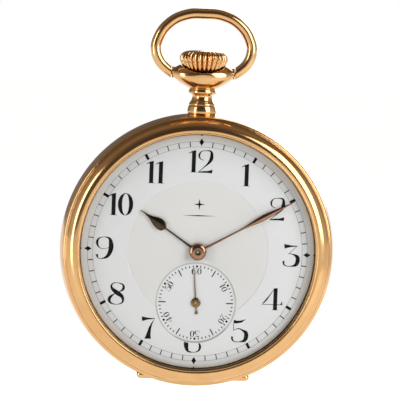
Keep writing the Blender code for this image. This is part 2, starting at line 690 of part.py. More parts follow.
def crossings(centre, inner, outer, arms, arm_half):
    """The openings between the arms of a wheel."""
    loops = []
    for k in range(arms):
        start, end = 360.0 * k / arms, 360.0 * (k + 1) / arms
        a_out, a_in = (math.degrees(math.asin(arm_half / r)) for r in (outer, inner))
        far = arc(outer, start + a_out, end - a_out, centre, 22)
        near = arc(inner, end - a_in, start + a_in, centre, 60)
        loops.append(far + near)
    return loops


def make_train():
    """Centre, third, fourth and escape wheels, each in one piece with its pinion and arbor."""
    wheel("centre_wheel", GILT, CENTRE, [
        (3.5, 4.55, [ring(0.3, CENTRE, 12)]),
        (4.55, 4.8, [toothed(CENTRE, 7.15, 6.85, 80), *crossings(CENTRE, 1.6, 6.2, 4, 0.35)]),
        (4.8, 5.9, [ring(0.5, CENTRE, 12)]),
        (5.9, 6.4, [toothed(CENTRE, 0.92, 0.7, 10)]),
        (6.4, 7.95, [ring(0.6, CENTRE, 12)]),
        (7.95, 10.42, [ring(0.3, CENTRE, 12)]),
    ])
    wheel("third_wheel", GILT, THIRD, [
        (3.6, 4.5, [ring(0.15, THIRD, 8)]),
        (4.5, 5.0, [toothed(THIRD, 0.85, 0.65, 10)]),
        (5.0, 5.25, [ring(0.4, THIRD, 10)]),
        (5.25, 5.45, [toothed(THIRD, 4.46, 4.2, 75), *crossings(THIRD, 1.2, 3.7, 4, 0.25)]),
        (5.45, 6.65, [ring(0.3, THIRD, 10)]),
        (6.65, 7.8, [ring(0.18, THIRD, 8)]),
    ])
    wheel("fourth_wheel", GILT, FOURTH, [
        (3.6, 5.15, [ring(0.15, FOURTH, 8)]),
        (5.15, 5.6, [toothed(FOURTH, 0.56, 0.4, 10)]),
        (5.6, 5.95, [ring(0.3, FOURTH, 10)]),
        (5.95, 6.15, [toothed(FOURTH, 4.51, 4.25, 70), *crossings(FOURTH, 1.2, 3.8, 4, 0.25)]),
        (6.15, 6.65, [ring(0.3, FOURTH, 10)]),
        (6.65, 9.15, [ring(0.18, FOURTH, 8)]),
    ])
    wheel("escape_wheel", STEEL, ESCAPE, [
        (3.6, 4.6, [ring(0.13, ESCAPE, 8)]),
        (4.6, 5.9, [ring(0.22, ESCAPE, 8)]),
        (5.9, 6.15, [toothed(ESCAPE, 0.43, 0.3, 7)]),
        (6.15, 6.35, [toothed(ESCAPE, 3.1, 2.3, 15), *crossings(ESCAPE, 0.8, 2.0, 4, 0.2)]),
        (6.35, 7.8, [ring(0.15, ESCAPE, 8)]),
    ])


def make_escapement():
    """Pallet fork, balance and hairspring, and the regulator round the balance's end stone."""
    way = math.atan2(BALANCE[1] - PALLET[1], BALANCE[0] - PALLET[0])

    def local(along, across):
        c, s = math.cos(way), math.sin(way)
        return (PALLET[0] + along * c - across * s, PALLET[1] + along * s + across * c)

    half = [
        (5.45, 0.3), (5.55, 0.7), (4.7, 0.45), (4.2, 0.16), (0.6, 0.3), (0.35, 0.9),
        (-0.45, 1.95), (-0.8, 1.75), (-0.3, 0.7),
    ]
    outline = [local(4.9, 0.0)] + [local(a, c) for a, c in half] + [local(a, -c) for a, c in reversed(half)]
    stack("pallet_fork", STEEL, [
        (5.8, 6.15, [ring(0.15, PALLET, 8)]),
        (6.15, 6.35, [outline]),
        (6.35, 7.8, [ring(0.15, PALLET, 8)]),
    ], pivot_of(PALLET))
    rim = ring(7.75, BALANCE, 32)
    stack("balance_wheel", GILT, [
        (4.5, 4.95, [ring(0.35, BALANCE, 10)]),
        (4.95, 5.15, [rim, *crossings(BALANCE, 0.9, 6.9, 2, 0.4)]),
        (5.15, 5.65, [rim, ring(7.1, BALANCE, 32), ring(0.6, BALANCE, 10)]),
        (5.65, 5.85, [ring(0.45, BALANCE, 10)]),
        (5.85, 6.05, [ring(1.1, BALANCE, 12)]),
        (6.05, 7.6, [ring(0.18, BALANCE, 8)]),
    ], pivot_of(BALANCE))
    spiral("hairspring", BLUED, BALANCE, 0.7, 3.2, 5, 0.1, (4.6, 4.8))
    outer = arc(1.6, 64, 376, BALANCE, 24)
    tip = [(BALANCE[0] + 4.9 * math.cos(math.radians(40)), BALANCE[1] + 4.9 * math.sin(math.radians(40)))]
    stack("regulator", STEEL, [(3.05, 3.3, [outer + tip, ring(1.0, BALANCE, 14)])], pivot_of(BALANCE))


# ---------------------------------------------------------------- dial and hands

def make_dial():
    """An enamelled plate with a sunk seconds dial, pierced for the hands' pipes."""
    edge, centre_hole = ring(21.25), ring(1.0, CENTRE, 16)
    stack("dial", ENAMEL, [
        (DIAL_BACK, 9.05, [edge, centre_hole, ring(0.4, FOURTH, 10)]),
        (9.05, DIAL_FRONT, [edge, centre_hole, ring(7.2, FOURTH, 40)]),
    ])


def hand(name, bearing, back, front, hole_r, boss_r, blade, tail=()):
    """A hand along a clockwise bearing. Blade and tail are (distance, half width) points;
    they leave a round boss that is pierced for the hand's post."""
    centre = FOURTH if name == "seconds_hand" else CENTRE
    way = math.radians(90.0 - bearing)

    def at(distance, across):
        return (
            centre[0] + distance * math.cos(way) - across * math.sin(way),
            centre[1] + distance * math.sin(way) + across * math.cos(way),
        )

    def side(points, sign):
        return [at(d, sign * w) for d, w in points]

    def boss(start, end, count=9):
        turns = [math.radians(start + (end - start) * i / (count - 1)) for i in range(count)]
        return [at(boss_r * math.cos(t), boss_r * math.sin(t)) for t in turns]

    root = math.degrees(math.asin(blade[0][1] / boss_r))
    outline = side(blade, -1) + side(blade[::-1], 1)
    if tail:
        tail_root = math.degrees(math.asin(tail[0][1] / boss_r))
        outline += boss(root + 12, 168 - tail_root)
        outline += [at(-d, w) for d, w in tail] + [at(-d, -w) for d, w in reversed(tail)]
        outline += boss(192 + tail_root, 348 - root)
    else:
        outline += boss(root + 12, 348 - root, 14)
    stack(name, HAND_GOLD, [(back, front, [outline, ring(hole_r, centre, 12)])], pivot_of(centre))


def make_hands():
    """The hands at about ten past ten, with pear and leaf shaped blades."""
    hour_blade = [
        (1.52, 0.22), (7.3, 0.14), (7.9, 0.75), (8.8, 1.15), (9.8, 0.9), (11.0, 0.35), (11.8, 0.12),
        (12.85, 0.04),
    ]
    hand("hour_hand", HOUR_BEARING, 9.5, 9.75, 0.87, 1.54, hour_blade)
    minute_blade = [
        (1.52, 0.22), (9.6, 0.14), (11.0, 0.36), (13.2, 0.5), (15.8, 0.34), (17.9, 0.13), (19.7, 0.04),
    ]
    hand("minute_hand", MINUTE_BEARING, 9.95, 10.15, 0.58, 1.5, minute_blade)
    seconds_blade, seconds_tail = [(0.8, 0.1), (6.1, 0.04)], [(0.8, 0.09), (1.6, 0.09)]
    hand("seconds_hand", SECONDS_BEARING, 9.18, 9.36, 0.22, 0.82, seconds_blade, seconds_tail)


make_case_middle()
make_bezel()
make_back()
make_hinge_pins()
make_crystal()
make_pendant()
make_bow()
make_crown_and_stem()
make_pinions_on_the_stem()
make_winding_train()
make_setting_parts()
make_mainplate()
make_bridges()
make_frame_screws()
make_jewels()
make_barrel()
make_train()
make_escapement()
make_dial()
make_hands()
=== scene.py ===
import json
import math

import bmesh
import bpy
from mathutils import Matrix, Vector
from mathutils.geometry import delaunay_2d_cdt


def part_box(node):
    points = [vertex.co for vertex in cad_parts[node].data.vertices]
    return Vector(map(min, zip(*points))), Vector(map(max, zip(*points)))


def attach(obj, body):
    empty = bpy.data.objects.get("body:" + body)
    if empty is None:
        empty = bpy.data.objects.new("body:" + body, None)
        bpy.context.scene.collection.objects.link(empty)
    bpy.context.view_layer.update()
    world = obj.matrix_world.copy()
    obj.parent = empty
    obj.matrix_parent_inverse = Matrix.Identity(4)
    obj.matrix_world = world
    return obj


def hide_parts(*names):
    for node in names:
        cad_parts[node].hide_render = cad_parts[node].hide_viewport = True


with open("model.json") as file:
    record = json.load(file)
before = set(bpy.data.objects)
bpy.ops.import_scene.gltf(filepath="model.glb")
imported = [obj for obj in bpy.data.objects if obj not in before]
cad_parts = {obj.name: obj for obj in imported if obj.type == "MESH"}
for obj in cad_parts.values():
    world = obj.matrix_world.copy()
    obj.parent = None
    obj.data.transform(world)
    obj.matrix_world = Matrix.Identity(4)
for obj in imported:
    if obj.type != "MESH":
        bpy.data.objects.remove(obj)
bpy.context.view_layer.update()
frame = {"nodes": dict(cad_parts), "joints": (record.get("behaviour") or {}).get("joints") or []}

# ---------------------------------------------------------------- camera and studio
# A long lens looks at the dial from a little above and to the left of it. The watch hangs well
# over a pale floor, with a large soft light on the right, a weak one on the left, one behind.
MM = 0.001
AIM = Vector((0.29, -5.3, 9.13)) * MM
AZIMUTH = math.radians(-3.1)
ELEVATION = math.radians(4.1)
TILT = math.radians(2.1)
DISTANCE = 400 * MM
camera_data = bpy.data.cameras.new("camera")
camera_data.lens = 197
camera_data.sensor_width = 36
camera_data.clip_start = 0.01
camera_data.clip_end = 20
camera = bpy.data.objects.new("camera", camera_data)
bpy.context.collection.objects.link(camera)
bpy.context.scene.camera = camera
back = Vector((
    math.sin(AZIMUTH) * math.cos(ELEVATION),
    -math.cos(AZIMUTH) * math.cos(ELEVATION),
    math.sin(ELEVATION),
))
level = back.to_track_quat("Z", "Y").to_matrix().to_4x4()
camera.matrix_world = Matrix.Translation(AIM + back * DISTANCE) @ level @ Matrix.Rotation(TILT, 4, "Z")
bpy.context.scene.view_settings.view_transform = "Standard"

FLOOR_Z = -90 * MM
floor_mesh = bpy.data.meshes.new("floor")
floor_build = bmesh.new()
bmesh.ops.create_grid(floor_build, x_segments=1, y_segments=1, size=8)
floor_build.transform(Matrix.Translation((0, 0, FLOOR_Z)))
floor_build.to_mesh(floor_mesh)
floor_build.free()
floor = bpy.data.objects.new("floor", floor_mesh)
bpy.context.collection.objects.link(floor)
floor_paint = bpy.data.materials.new("pale_floor")
floor_paint.use_nodes = True
floor_shader = floor_paint.node_tree.nodes["Principled BSDF"]
floor_shader.inputs["Base Color"].default_value = (0.5, 0.5, 0.5, 1)
floor_shader.inputs["Roughness"].default_value = 0.9
floor_shader.inputs["Emission Color"].default_value = (1, 1, 1, 1)
floor_shader.inputs["Emission Strength"].default_value = 0.9
floor_mesh.materials.append(floor_paint)


class Value:
    """One output of a node. Sums and products of it add Math nodes to its tree."""

    def __init__(self, tree, socket):
        self.tree = tree
        self.socket = socket

    def maths(self, operation, first, second):
        return node(self.tree, "ShaderNodeMath", {"operation": operation}, {0: first, 1: second})

    def __add__(self, other):
        return self.maths("ADD", self, other)

    def __radd__(self, other):
        return self.maths("ADD", other, self)

    def __sub__(self, other):
        return self.maths("SUBTRACT", self, other)

    def __rsub__(self, other):
        return self.maths("SUBTRACT", other, self)

    def __mul__(self, other):
        return self.maths("MULTIPLY", self, other)

    def __rmul__(self, other):
        return self.maths("MULTIPLY", other, self)

    def __pow__(self, other):
        return self.maths("POWER", self, other)


def node(tree, kind, settings=None, inputs=None, output=0):
    """Add a node. Its settings are made first, then its sockets take values or links."""
    made = tree.nodes.new(kind)
    for name, setting in (settings or {}).items():
        if name == "stops":
            made.color_ramp.elements.remove(made.color_ramp.elements[-1])
            for k, (at, colour) in enumerate(setting):
                stop = made.color_ramp.elements[0] if k == 0 else made.color_ramp.elements.new(at)
                stop.position = at
                stop.color = (*colour, 1)
        else:
            setattr(made, name, setting)
    for name, value in (inputs or {}).items():
        if isinstance(value, Value):
            tree.links.new(value.socket, made.inputs[name])
        else:
            made.inputs[name].default_value = value
    return Value(tree, made.outputs[output])


def blend_colours(tree, share, first, second):
    """A colour between two others."""
    return node(tree, "ShaderNodeMix", {"data_type": "RGBA"}, {0: share, 6: first, 7: second}, 2)


studio = bpy.data.worlds.new("studio")
bpy.context.scene.world = studio
studio.use_nodes = True
air = studio.node_tree
ray = node(air, "ShaderNodeTexCoord")
side = node(air, "ShaderNodeSeparateXYZ", {}, {0: ray}, 1)
rise = node(air, "ShaderNodeSeparateXYZ", {}, {0: ray}, 2)
from_front = node(air, "ShaderNodeMapRange", {}, {0: side, 1: -0.8, 2: -0.15, 3: 0.12, 4: 0.75})
from_behind = node(air, "ShaderNodeMapRange", {}, {0: side, 1: 0.1, 2: 0.7, 3: 1.0, 4: 0.35})
from_above = node(air, "ShaderNodeMapRange", {}, {0: rise, 1: 0.1, 2: 0.7, 3: 1.0, 4: 0.4})
warmth = node(air, "ShaderNodeMapRange", {}, {0: rise, 1: 0.15, 2: 0.75, 3: 0.0, 4: 0.75})
seen = node(air, "ShaderNodeLightPath")
room = from_front * from_behind * from_above
brightness = seen + (1 - seen) * room
air.links.new(brightness.socket, air.nodes["Background"].inputs["Strength"])
room_colour = blend_colours(air, warmth * (1 - seen), (1.0, 1.0, 1.0, 1), (1.0, 0.72, 0.5, 1))
air.links.new(room_colour.socket, air.nodes["Background"].inputs["Color"])


def soft_light(name, place, size, watts, colour=(1, 1, 1)):
    """A rectangular soft box that faces the watch."""
    data = bpy.data.lights.new(name, "AREA")
    data.shape = "RECTANGLE"
    data.size = size[0] * MM
    data.size_y = size[1] * MM
    data.energy = watts
    data.color = colour
    lamp = bpy.data.objects.new(name, data)
    bpy.context.collection.objects.link(lamp)
    lamp.matrix_world = Matrix.Translation(Vector(place) * MM) @ (
        (Vector(place) * MM - AIM).to_track_quat("Z", "Y").to_matrix().to_4x4()
    )


soft_light("key_light", (330, -300, 190), (280, 400), 1.85)
soft_light("fill_light", (-420, -260, 60), (120, 420), 0.9)
soft_light("back_light", (160, 420, 160), (300, 300), 0.8)

# ---------------------------------------------------------------- band of the case
# A turned ring of yellow gold, polished, with a lip at the back for the covers and one in
# front for the bezel. Hinge tubes are soldered into two seats filed across it at six o'clock.
FINE = 192
STEM_DEPTH = 5.75
HINGE_Z = -22.9
HINGE_HALF = 10.3
BEZEL_HINGE = (7.95, 0.7)
COVER_HINGE = (3.45, 0.6)
GOLD_LIGHT = (0.70, 0.43, 0.20, 1)
GOLD_DEEP = (0.56, 0.32, 0.13, 1)


def object_place(tree):
    """Object coordinates in millimetres."""
    where = node(tree, "ShaderNodeTexCoord", {}, {}, 3)
    return node(tree, "ShaderNodeVectorMath", {"operation": "SCALE"}, {0: where, "Scale": 1000})


def noise(tree, where, scale, detail=3.0):
    return node(tree, "ShaderNodeTexNoise", {}, {"Vector": where, "Scale": scale, "Detail": detail})


def new_paint(name, constants):
    """A material and its tree. The constants go straight on the shader's own sockets."""
    made = bpy.data.materials.new(name)
    made.use_nodes = True
    shader = made.node_tree.nodes["Principled BSDF"]
    for socket, value in constants.items():
        shader.inputs[socket].default_value = value
    return made, made.node_tree, shader


def feed(tree, shader, sockets):
    for name, value in sockets.items():
        tree.links.new(value.socket, shader.inputs[name])


def polished_metal(name, light, deep, rough, scratch=0.03, bloom=0.25):
    """Metal polished by hand: faint clouds of colour, hairline scratches and duller patches."""
    made, tree, shader = new_paint(name, {"Metallic": 1.0})
    where = object_place(tree)
    clouds = noise(tree, where, bloom, 2.0)
    stretched = node(tree, "ShaderNodeMapping", {}, {
        "Vector": where, "Rotation": (0.3, 0.5, 0.7), "Scale": (14, 2, 2),
    })
    hairlines = noise(tree, stretched, 1.0, 5.0)
    pits = noise(tree, where, 9.0, 2.0)
    colour = blend_colours(tree, clouds, deep, light)
    dull = rough * 0.7 + clouds * rough * 0.5 + hairlines * rough * 0.35
    relief = hairlines * 0.6 + pits * 0.4
    bump = node(
        tree, "ShaderNodeBump", {}, {"Strength": scratch, "Distance": 0.02 * MM, "Height": relief}
    )
    feed(tree, shader, {"Base Color": colour, "Roughness": dull, "Normal": bump})
    return made


def ring(radius, centre=(0.0, 0.0), count=FINE):
    """A circle in the plane of the dial."""
    step = math.tau / count
    return [
        (centre[0] + radius * math.cos(i * step), centre[1] + radius * math.sin(i * step))
        for i in range(count)
    ]


def arc(radius, start, end, centre=(0.0, 0.0), step=2.0):
    """Points along an arc, its angles in degrees from +X towards +Z."""
    count = max(2, round(abs(end - start) / step) + 1)
    turns = [math.radians(start + (end - start) * i / (count - 1)) for i in range(count)]
    return [(centre[0] + radius * math.cos(a), centre[1] + radius * math.sin(a)) for a in turns]


def eased(points, cut, closed=False, steps=4):
    """An outline whose corners are rounded off, each by its own cut where it has one."""
    made = []
    for k, point in enumerate(points):
        here = Vector(point[:2])
        before = Vector(points[k - 1][:2])
        after = Vector(points[(k + 1) % len(points)][:2])
        size = point[2] if len(point) > 2 else cut
        if (not closed and k in (0, len(points) - 1)) or size == 0:
            made.append(tuple(here))
            continue
        near = min(size, (before - here).length * 0.49, (after - here).length * 0.49)
        start = here + (before - here).normalized() * near
        end = here + (after - here).normalized() * near
        for i in range(steps + 1):
            t = i / steps
            made.append(tuple(start * (1 - t) ** 2 + here * 2 * t * (1 - t) + end * t * t))
    return made


def turned(profile, along="Y", centre=(0.0, 0.0, 0.0), sides=FINE, wave=None):
    """A solid turned about an axis, as a bmesh in millimetres. The profile is (radius, height);
    height is depth in front of the back cover along Y, or it runs up along Z or along X."""
    build = bmesh.new()
    rows = []
    for radius, height in profile:
        row = []
        for i in range(1 if radius == 0 else sides):
            angle = math.tau * i / sides
            grown = radius * (wave(angle, height) if wave else 1.0)
            a, b = grown * math.cos(angle), grown * math.sin(angle)
            offset = {"Y": (a, -height, b), "Z": (a, b, height), "X": (height, a, b)}[along]
            row.append(build.verts.new(Vector(centre) + Vector(offset)))
        rows.append(row)
    closed = profile[0][0] != 0
    for k in range(len(rows) if closed else len(rows) - 1):
        low, high = rows[k], rows[(k + 1) % len(rows)]
        for i in range(sides):
            j = (i + 1) % sides
            corners = [low[i % len(low)], low[j % len(low)], high[j % len(high)], high[i % len(high)]]
            corners = list(dict.fromkeys(corners))
            if len(corners) > 2:
                build.faces.new(corners)
    return build


def rod(start, end, radius, sides=32):
    """A plain round bar between two points."""
    build = bmesh.new()
    span = Vector(end) - Vector(start)
    turn = span.to_track_quat("Z", "Y").to_matrix().to_4x4()
    middle = Matrix.Translation((Vector(start) + Vector(end)) / 2)
    bmesh.ops.create_cone(
        build, cap_ends=True, segments=sides, radius1=radius, radius2=radius, depth=span.length,
        matrix=middle @ turn,
    )
    return build


def block(x_range, z_range, depth_range):
    build = bmesh.new()
    bmesh.ops.create_cube(build, size=1.0)
    sizes = [x_range[1] - x_range[0], depth_range[1] - depth_range[0], z_range[1] - z_range[0]]
    middle = (sum(x_range) / 2, -sum(depth_range) / 2, sum(z_range) / 2)
    build.transform(Matrix.Translation(middle) @ Matrix.Diagonal((*sizes, 1.0)))
    return build


def shape(name, build):
    """Make an object of a bmesh in millimetres; the object stays at the origin."""
    bmesh.ops.recalc_face_normals(build, faces=build.faces)
    build.transform(Matrix.Scale(MM, 4))
    mesh = bpy.data.meshes.new(name)
    build.to_mesh(mesh)
    build.free()
    piece = bpy.data.objects.new(name, mesh)
    bpy.context.collection.objects.link(piece)
    return piece


def plain_mesh(piece):
    """Apply the modifiers of a piece to its mesh."""
    graph = bpy.context.evaluated_depsgraph_get()
    made = bpy.data.meshes.new_from_object(piece.evaluated_get(graph))
    piece.modifiers.clear()
    piece.data = made
    return piece


def combine(piece, builds, operation):
    """Cut shapes out of a piece, or join them on."""
    for build in builds:
        tool = shape("tool", build)
        change = piece.modifiers.new(operation, "BOOLEAN")
        change.operation = operation
        change.solver = "EXACT"
        change.object = tool
        plain_mesh(piece)
        bpy.data.objects.remove(tool, do_unlink=True)
    return piece


def soften(piece, width, segments=2, angle=40):
    """Break the sharp edges of a piece."""
    edge = piece.modifiers.new("edges", "BEVEL")
    edge.width = width * MM
    edge.segments = segments
    edge.limit_method = "ANGLE"
    edge.angle_limit = math.radians(angle)
    return plain_mesh(piece)


def settle(piece, paint, body, nodes=(), sharp=35):
    """Give a piece its finish, and hang it on its body of the watch."""
    mesh = piece.data
    mesh.materials.clear()
    mesh.materials.append(paint)
    for face in mesh.polygons:
        face.material_index = 0
    mesh.shade_smooth()
    mesh.set_sharp_from_angle(angle=math.radians(sharp))
    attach(piece, body)
    if nodes:
        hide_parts(*nodes)
    return piece


def knuckle(left, right, hinge, dome_left=0.0, dome_right=0.0):
    """A hinge tube, solid until its pin hole is cut. An end may be domed over a length."""
    depth, radius = hinge
    turns = [math.tau * i / 32 for i in range(9)]
    outline = [(radius * math.sin(t), left + dome_left * (1 - math.cos(t))) for t in turns]
    outline += [(radius * math.sin(t), right - dome_right * (1 - math.cos(t))) for t in reversed(turns)]
    return turned(outline, "X", (0, -depth, HINGE_Z), 48)


def pin_hole(hinge):
    reach = HINGE_HALF + 1
    return rod((-reach, -hinge[0], HINGE_Z), (reach, -hinge[0], HINGE_Z), 0.3)


case_gold = polished_metal("case_gold_polish", GOLD_LIGHT, GOLD_DEEP, 0.13)
band = shape("case_band", turned(eased([
    (21.15, 2.6), (21.75, 2.6), (21.75, 2.95), (22.45, 2.95), (22.45, 2.35), (23.25, 2.35),
    (23.3, 2.8, 0.2), (24.1, 2.8, 0.2), (24.75, 4.0, 0.9), (25.0, 5.4, 0.9), (25.0, 6.1, 0.9),
    (24.75, 7.5, 0.9), (24.5, 8.65, 0.15), (22.4, 8.65), (22.4, 9.0), (21.6, 9.0), (21.6, 6.65),
    (20.7, 6.65), (20.7, 6.1), (21.15, 6.1),
], 0.06, closed=True, steps=3)))
seat = HINGE_HALF + 0.1
combine(band, [
    block((-seat, seat), (-26.0, -21.95), (6.6, 9.5)),
    block((-seat, seat), (-26.0, -21.95), (2.0, 4.75)),
    block((-seat, seat), (-26.0, -19.7), (2.0, 3.0)),
    rod((0, -STEM_DEPTH, 19.0), (0, -STEM_DEPTH, 27.0), 1.0),
    rod((0, -STEM_DEPTH, 24.35), (0, -STEM_DEPTH, 27.0), 2.4, 64),
], "DIFFERENCE")
band_knuckles = []
for hinge, inner in ((BEZEL_HINGE, 3.45), (COVER_HINGE, 6.6)):
    for side_sign in (-1, 1):
        reach = hinge[1] - 0.1
        left, right = sorted((side_sign * inner, side_sign * HINGE_HALF))
        rounds = (0.0, 0.9) if side_sign > 0 else (0.9, 0.0)
        band_knuckles.append(knuckle(left, right, hinge, *rounds))
        left, right = sorted((side_sign * inner, side_sign * (HINGE_HALF - 0.8)))
        band_knuckles.append(block((left, right), (-21.7, HINGE_Z), (hinge[0] - reach, hinge[0] + reach)))
combine(band, band_knuckles, "UNION")
combine(band, [pin_hole(BEZEL_HINGE), pin_hole(COVER_HINGE)], "DIFFERENCE")
settle(band, case_gold, "case", ["case_middle"])

# ---------------------------------------------------------------- hinge pins
# Drawn steel wire pressed through the hinge tubes, with its ends filed round.
bright_steel = polished_metal("bright_steel", (0.66, 0.67, 0.69, 1), (0.5, 0.51, 0.54, 1), 0.22)
for name, hinge in (("bezel_hinge_pin", BEZEL_HINGE), ("cover_hinge_pin", COVER_HINGE)):
    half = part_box(name)[1].x / MM
    outline = eased([(0, -half), (0.25, -half, 0.15), (0.25, half, 0.15), (0, half)], 0)
    pin = shape(name + "_wire", turned(outline, "X", (0, -hinge[0], HINGE_Z), 24))
    settle(pin, bright_steel, "case", [name])

# ---------------------------------------------------------------- bezel
# A turned gold ring that snaps on the band. Its front is a broad rounded moulding with a
# groove outside a second, narrower one, and a fine bright lip runs round the glass.
bezel = shape("bezel_ring", turned(eased([
    (22.5, 8.7), (24.45, 8.7, 0.1), (24.5, 9.05, 0.3), (24.42, 9.5, 0.25), (24.15, 9.72, 0.12),
    (23.9, 9.72, 0.12), (23.8, 10.1, 0.4), (23.3, 10.85, 0.5), (22.65, 11.25, 0.5), (22.1, 11.4, 0.3),
    (21.74, 11.36, 0.05), (21.67, 11.3, 0.03), (21.6, 11.36, 0.03), (21.42, 11.32, 0.05), (21.5, 10.98),
    (21.9, 10.95), (21.9, 10.25), (21.35, 10.2), (21.35, 9.5), (22.5, 9.3),
], 0.05, closed=True, steps=4)))
combine(bezel, [block((-12.0, 12.0), (-26.0, -23.5), (-1.0, 14.0))], "DIFFERENCE")
combine(bezel, [
    knuckle(-3.35, 3.35, BEZEL_HINGE),
    block((-3.3, 3.3), (-23.5, -22.6), (BEZEL_HINGE[0], 9.0)),
], "UNION")
combine(bezel, [pin_hole(BEZEL_HINGE)], "DIFFERENCE")
settle(bezel, case_gold, "bezel", ["bezel"])

# ---------------------------------------------------------------- crystal
# A domed glass with a ground and polished edge, sprung into the bezel's groove.
glass, glass_tree, glass_shader = new_paint("watch_glass", {
    "Base Color": (0.05, 0.06, 0.058, 1), "Metallic": 0.0, "Coat Roughness": 0.02,
})
edge_on = node(glass_tree, "ShaderNodeLayerWeight", {}, {"Blend": 0.35}, 0)
glass_smear = noise(glass_tree, object_place(glass_tree), 0.35, 3.0)
feed(glass_tree, glass_shader, {
    "Alpha": 0.004 + edge_on * 0.35,
    "Roughness": 0.02 + glass_smear * 0.05,
})
crystal = shape("crystal_glass", turned(eased([
    (0, 13.0), (8.0, 12.85), (14.0, 12.4), (18.5, 11.8), (21.2, 11.1), (21.8, 10.85, 0.08),
    (21.8, 10.35, 0.08), (21.0, 10.45), (18.3, 11.15), (13.8, 11.75), (8.0, 12.2), (0, 12.35),
], 2.0)))
settle(crystal, glass, "bezel", ["crystal"])

# ---------------------------------------------------------------- back cover and cuvette
# Two spun gold lids on one hinge: the polished outer back, and the inner dust cover with a
# fine turned grain. Each has its own hinge tubes and closes with a snap on the band.
back_cover = shape("back_lid", turned(eased([
    (0, 0), (15.0, 0, 2), (19.0, 0.25, 2), (22.0, 0.8, 1.2), (23.6, 1.6, 0.8), (24.0, 2.3, 0.4),
    (24.0, 2.7), (23.4, 2.7), (23.3, 2.1, 0.5), (21.8, 1.35, 1), (18.8, 0.75, 2), (15.0, 0.5, 2), (0, 0.5),
], 0.06)))
combine(back_cover, [block((-12.0, 12.0), (-26.0, -23.5), (-1.0, 14.0))], "DIFFERENCE")
lid_parts = []
for left, right in ((-6.5, -2.6), (2.6, 6.5)):
    lid_parts.append(knuckle(left, right, COVER_HINGE))
    lid_parts.append(block((left, right), (-23.45, -22.6), (2.4, COVER_HINGE[0])))
combine(back_cover, lid_parts, "UNION")
combine(back_cover, [pin_hole(COVER_HINGE)], "DIFFERENCE")
settle(back_cover, case_gold, "back_cover", ["back_cover"])


def turned_grain(name, light, deep, rough, centre=(0.0, 0.0), rings=9.0, depth=0.25):
    """Metal with the fine rings that a lathe leaves round a centre in the plane of the dial."""
    made, tree, shader = new_paint(name, {"Metallic": 1.0})
    moved = node(
        tree, "ShaderNodeMapping", {},
        {"Vector": object_place(tree), "Location": (-centre[0], 0, -centre[1]), "Scale": (1, 0, 1)},
    )
    radius = node(tree, "ShaderNodeVectorMath", {"operation": "LENGTH"}, {0: moved}, 1)
    grooves = node(tree, "ShaderNodeTexNoise", {"noise_dimensions": "1D"}, {
        "W": radius * rings, "Detail": 4.0,
    })
    clouds = noise(tree, moved, 0.3, 2.0)
    bump = node(
        tree, "ShaderNodeBump", {}, {"Strength": depth, "Distance": 0.03 * MM, "Height": grooves}
    )
    feed(tree, shader, {
        "Base Color": blend_colours(tree, clouds * 0.6 + grooves * 0.4, deep, light),
        "Roughness": rough * 0.8 + grooves * rough * 0.5,
        "Normal": bump,
    })
    return made


grained_gold = turned_grain("grained_gold", GOLD_LIGHT, GOLD_DEEP, 0.24)
cuvette = shape("cuvette_lid", turned(eased([
    (0, 1.0), (19.5, 1.0, 1), (21.5, 1.9, 0.8), (22.3, 2.5, 0.2), (22.3, 2.9), (21.9, 2.9),
    (21.9, 2.55), (21.3, 2.25, 0.5), (19.3, 1.35, 1), (0, 1.35),
], 0.05)))
combine(cuvette, [
    knuckle(-2.5, 2.5, COVER_HINGE),
    block((-2.4, 2.4), (-23.1, -22.0), (2.6, COVER_HINGE[0])),
], "UNION")
combine(cuvette, [pin_hole(COVER_HINGE)], "DIFFERENCE")
settle(cuvette, grained_gold, "cuvette", ["cuvette"])

# ---------------------------------------------------------------- pendant
# A turned neck soldered on the band, with a boat-shaped cup on it. The stem runs up through
# it, and the bow's ends turn in a boss at each tip of the cup.
PIVOT_Z = 32.3
CUP_LOW, CUP_FRONT, CUP_SIDE = 29.3, 32.3, 33.7
TENON_HOLE_R = 0.5
STEM_AXIS = (0.0, -STEM_DEPTH, 0.0)
pendant = shape("pendant_neck", turned(eased([
    (0, 24.4), (2.35, 24.4, 0.1), (2.7, 25.2, 0.7), (2.5, 26.2, 0.4), (2.34, 26.45, 0.05),
    (2.42, 26.55, 0.05), (2.4, 26.72, 0.08), (1.98, 27.3, 0.5), (1.78, 27.95, 0.4), (1.9, 28.35, 0.2),
    (2.4, 28.55, 0.1), (2.55, 28.8, 0.3), (2.45, 29.2, 0.2), (2.2, 29.6), (0, 29.6),
], 0.1), "Z", STEM_AXIS, 96))


def flowing(points, steps=4):
    """A line that eases through the middles between its points, from its first to its last."""
    route = [Vector(points[0])]
    for k in range(1, len(points) - 1):
        here = Vector(points[k])
        start = (Vector(points[k - 1]) + here) / 2 if k > 1 else Vector(points[0])
        end = (here + Vector(points[k + 1])) / 2 if k < len(points) - 2 else Vector(points[-1])
        for i in range(1, steps + 1):
            t = i / steps
            route.append(start * (1 - t) ** 2 + here * 2 * t * (1 - t) + end * t * t)
    return route


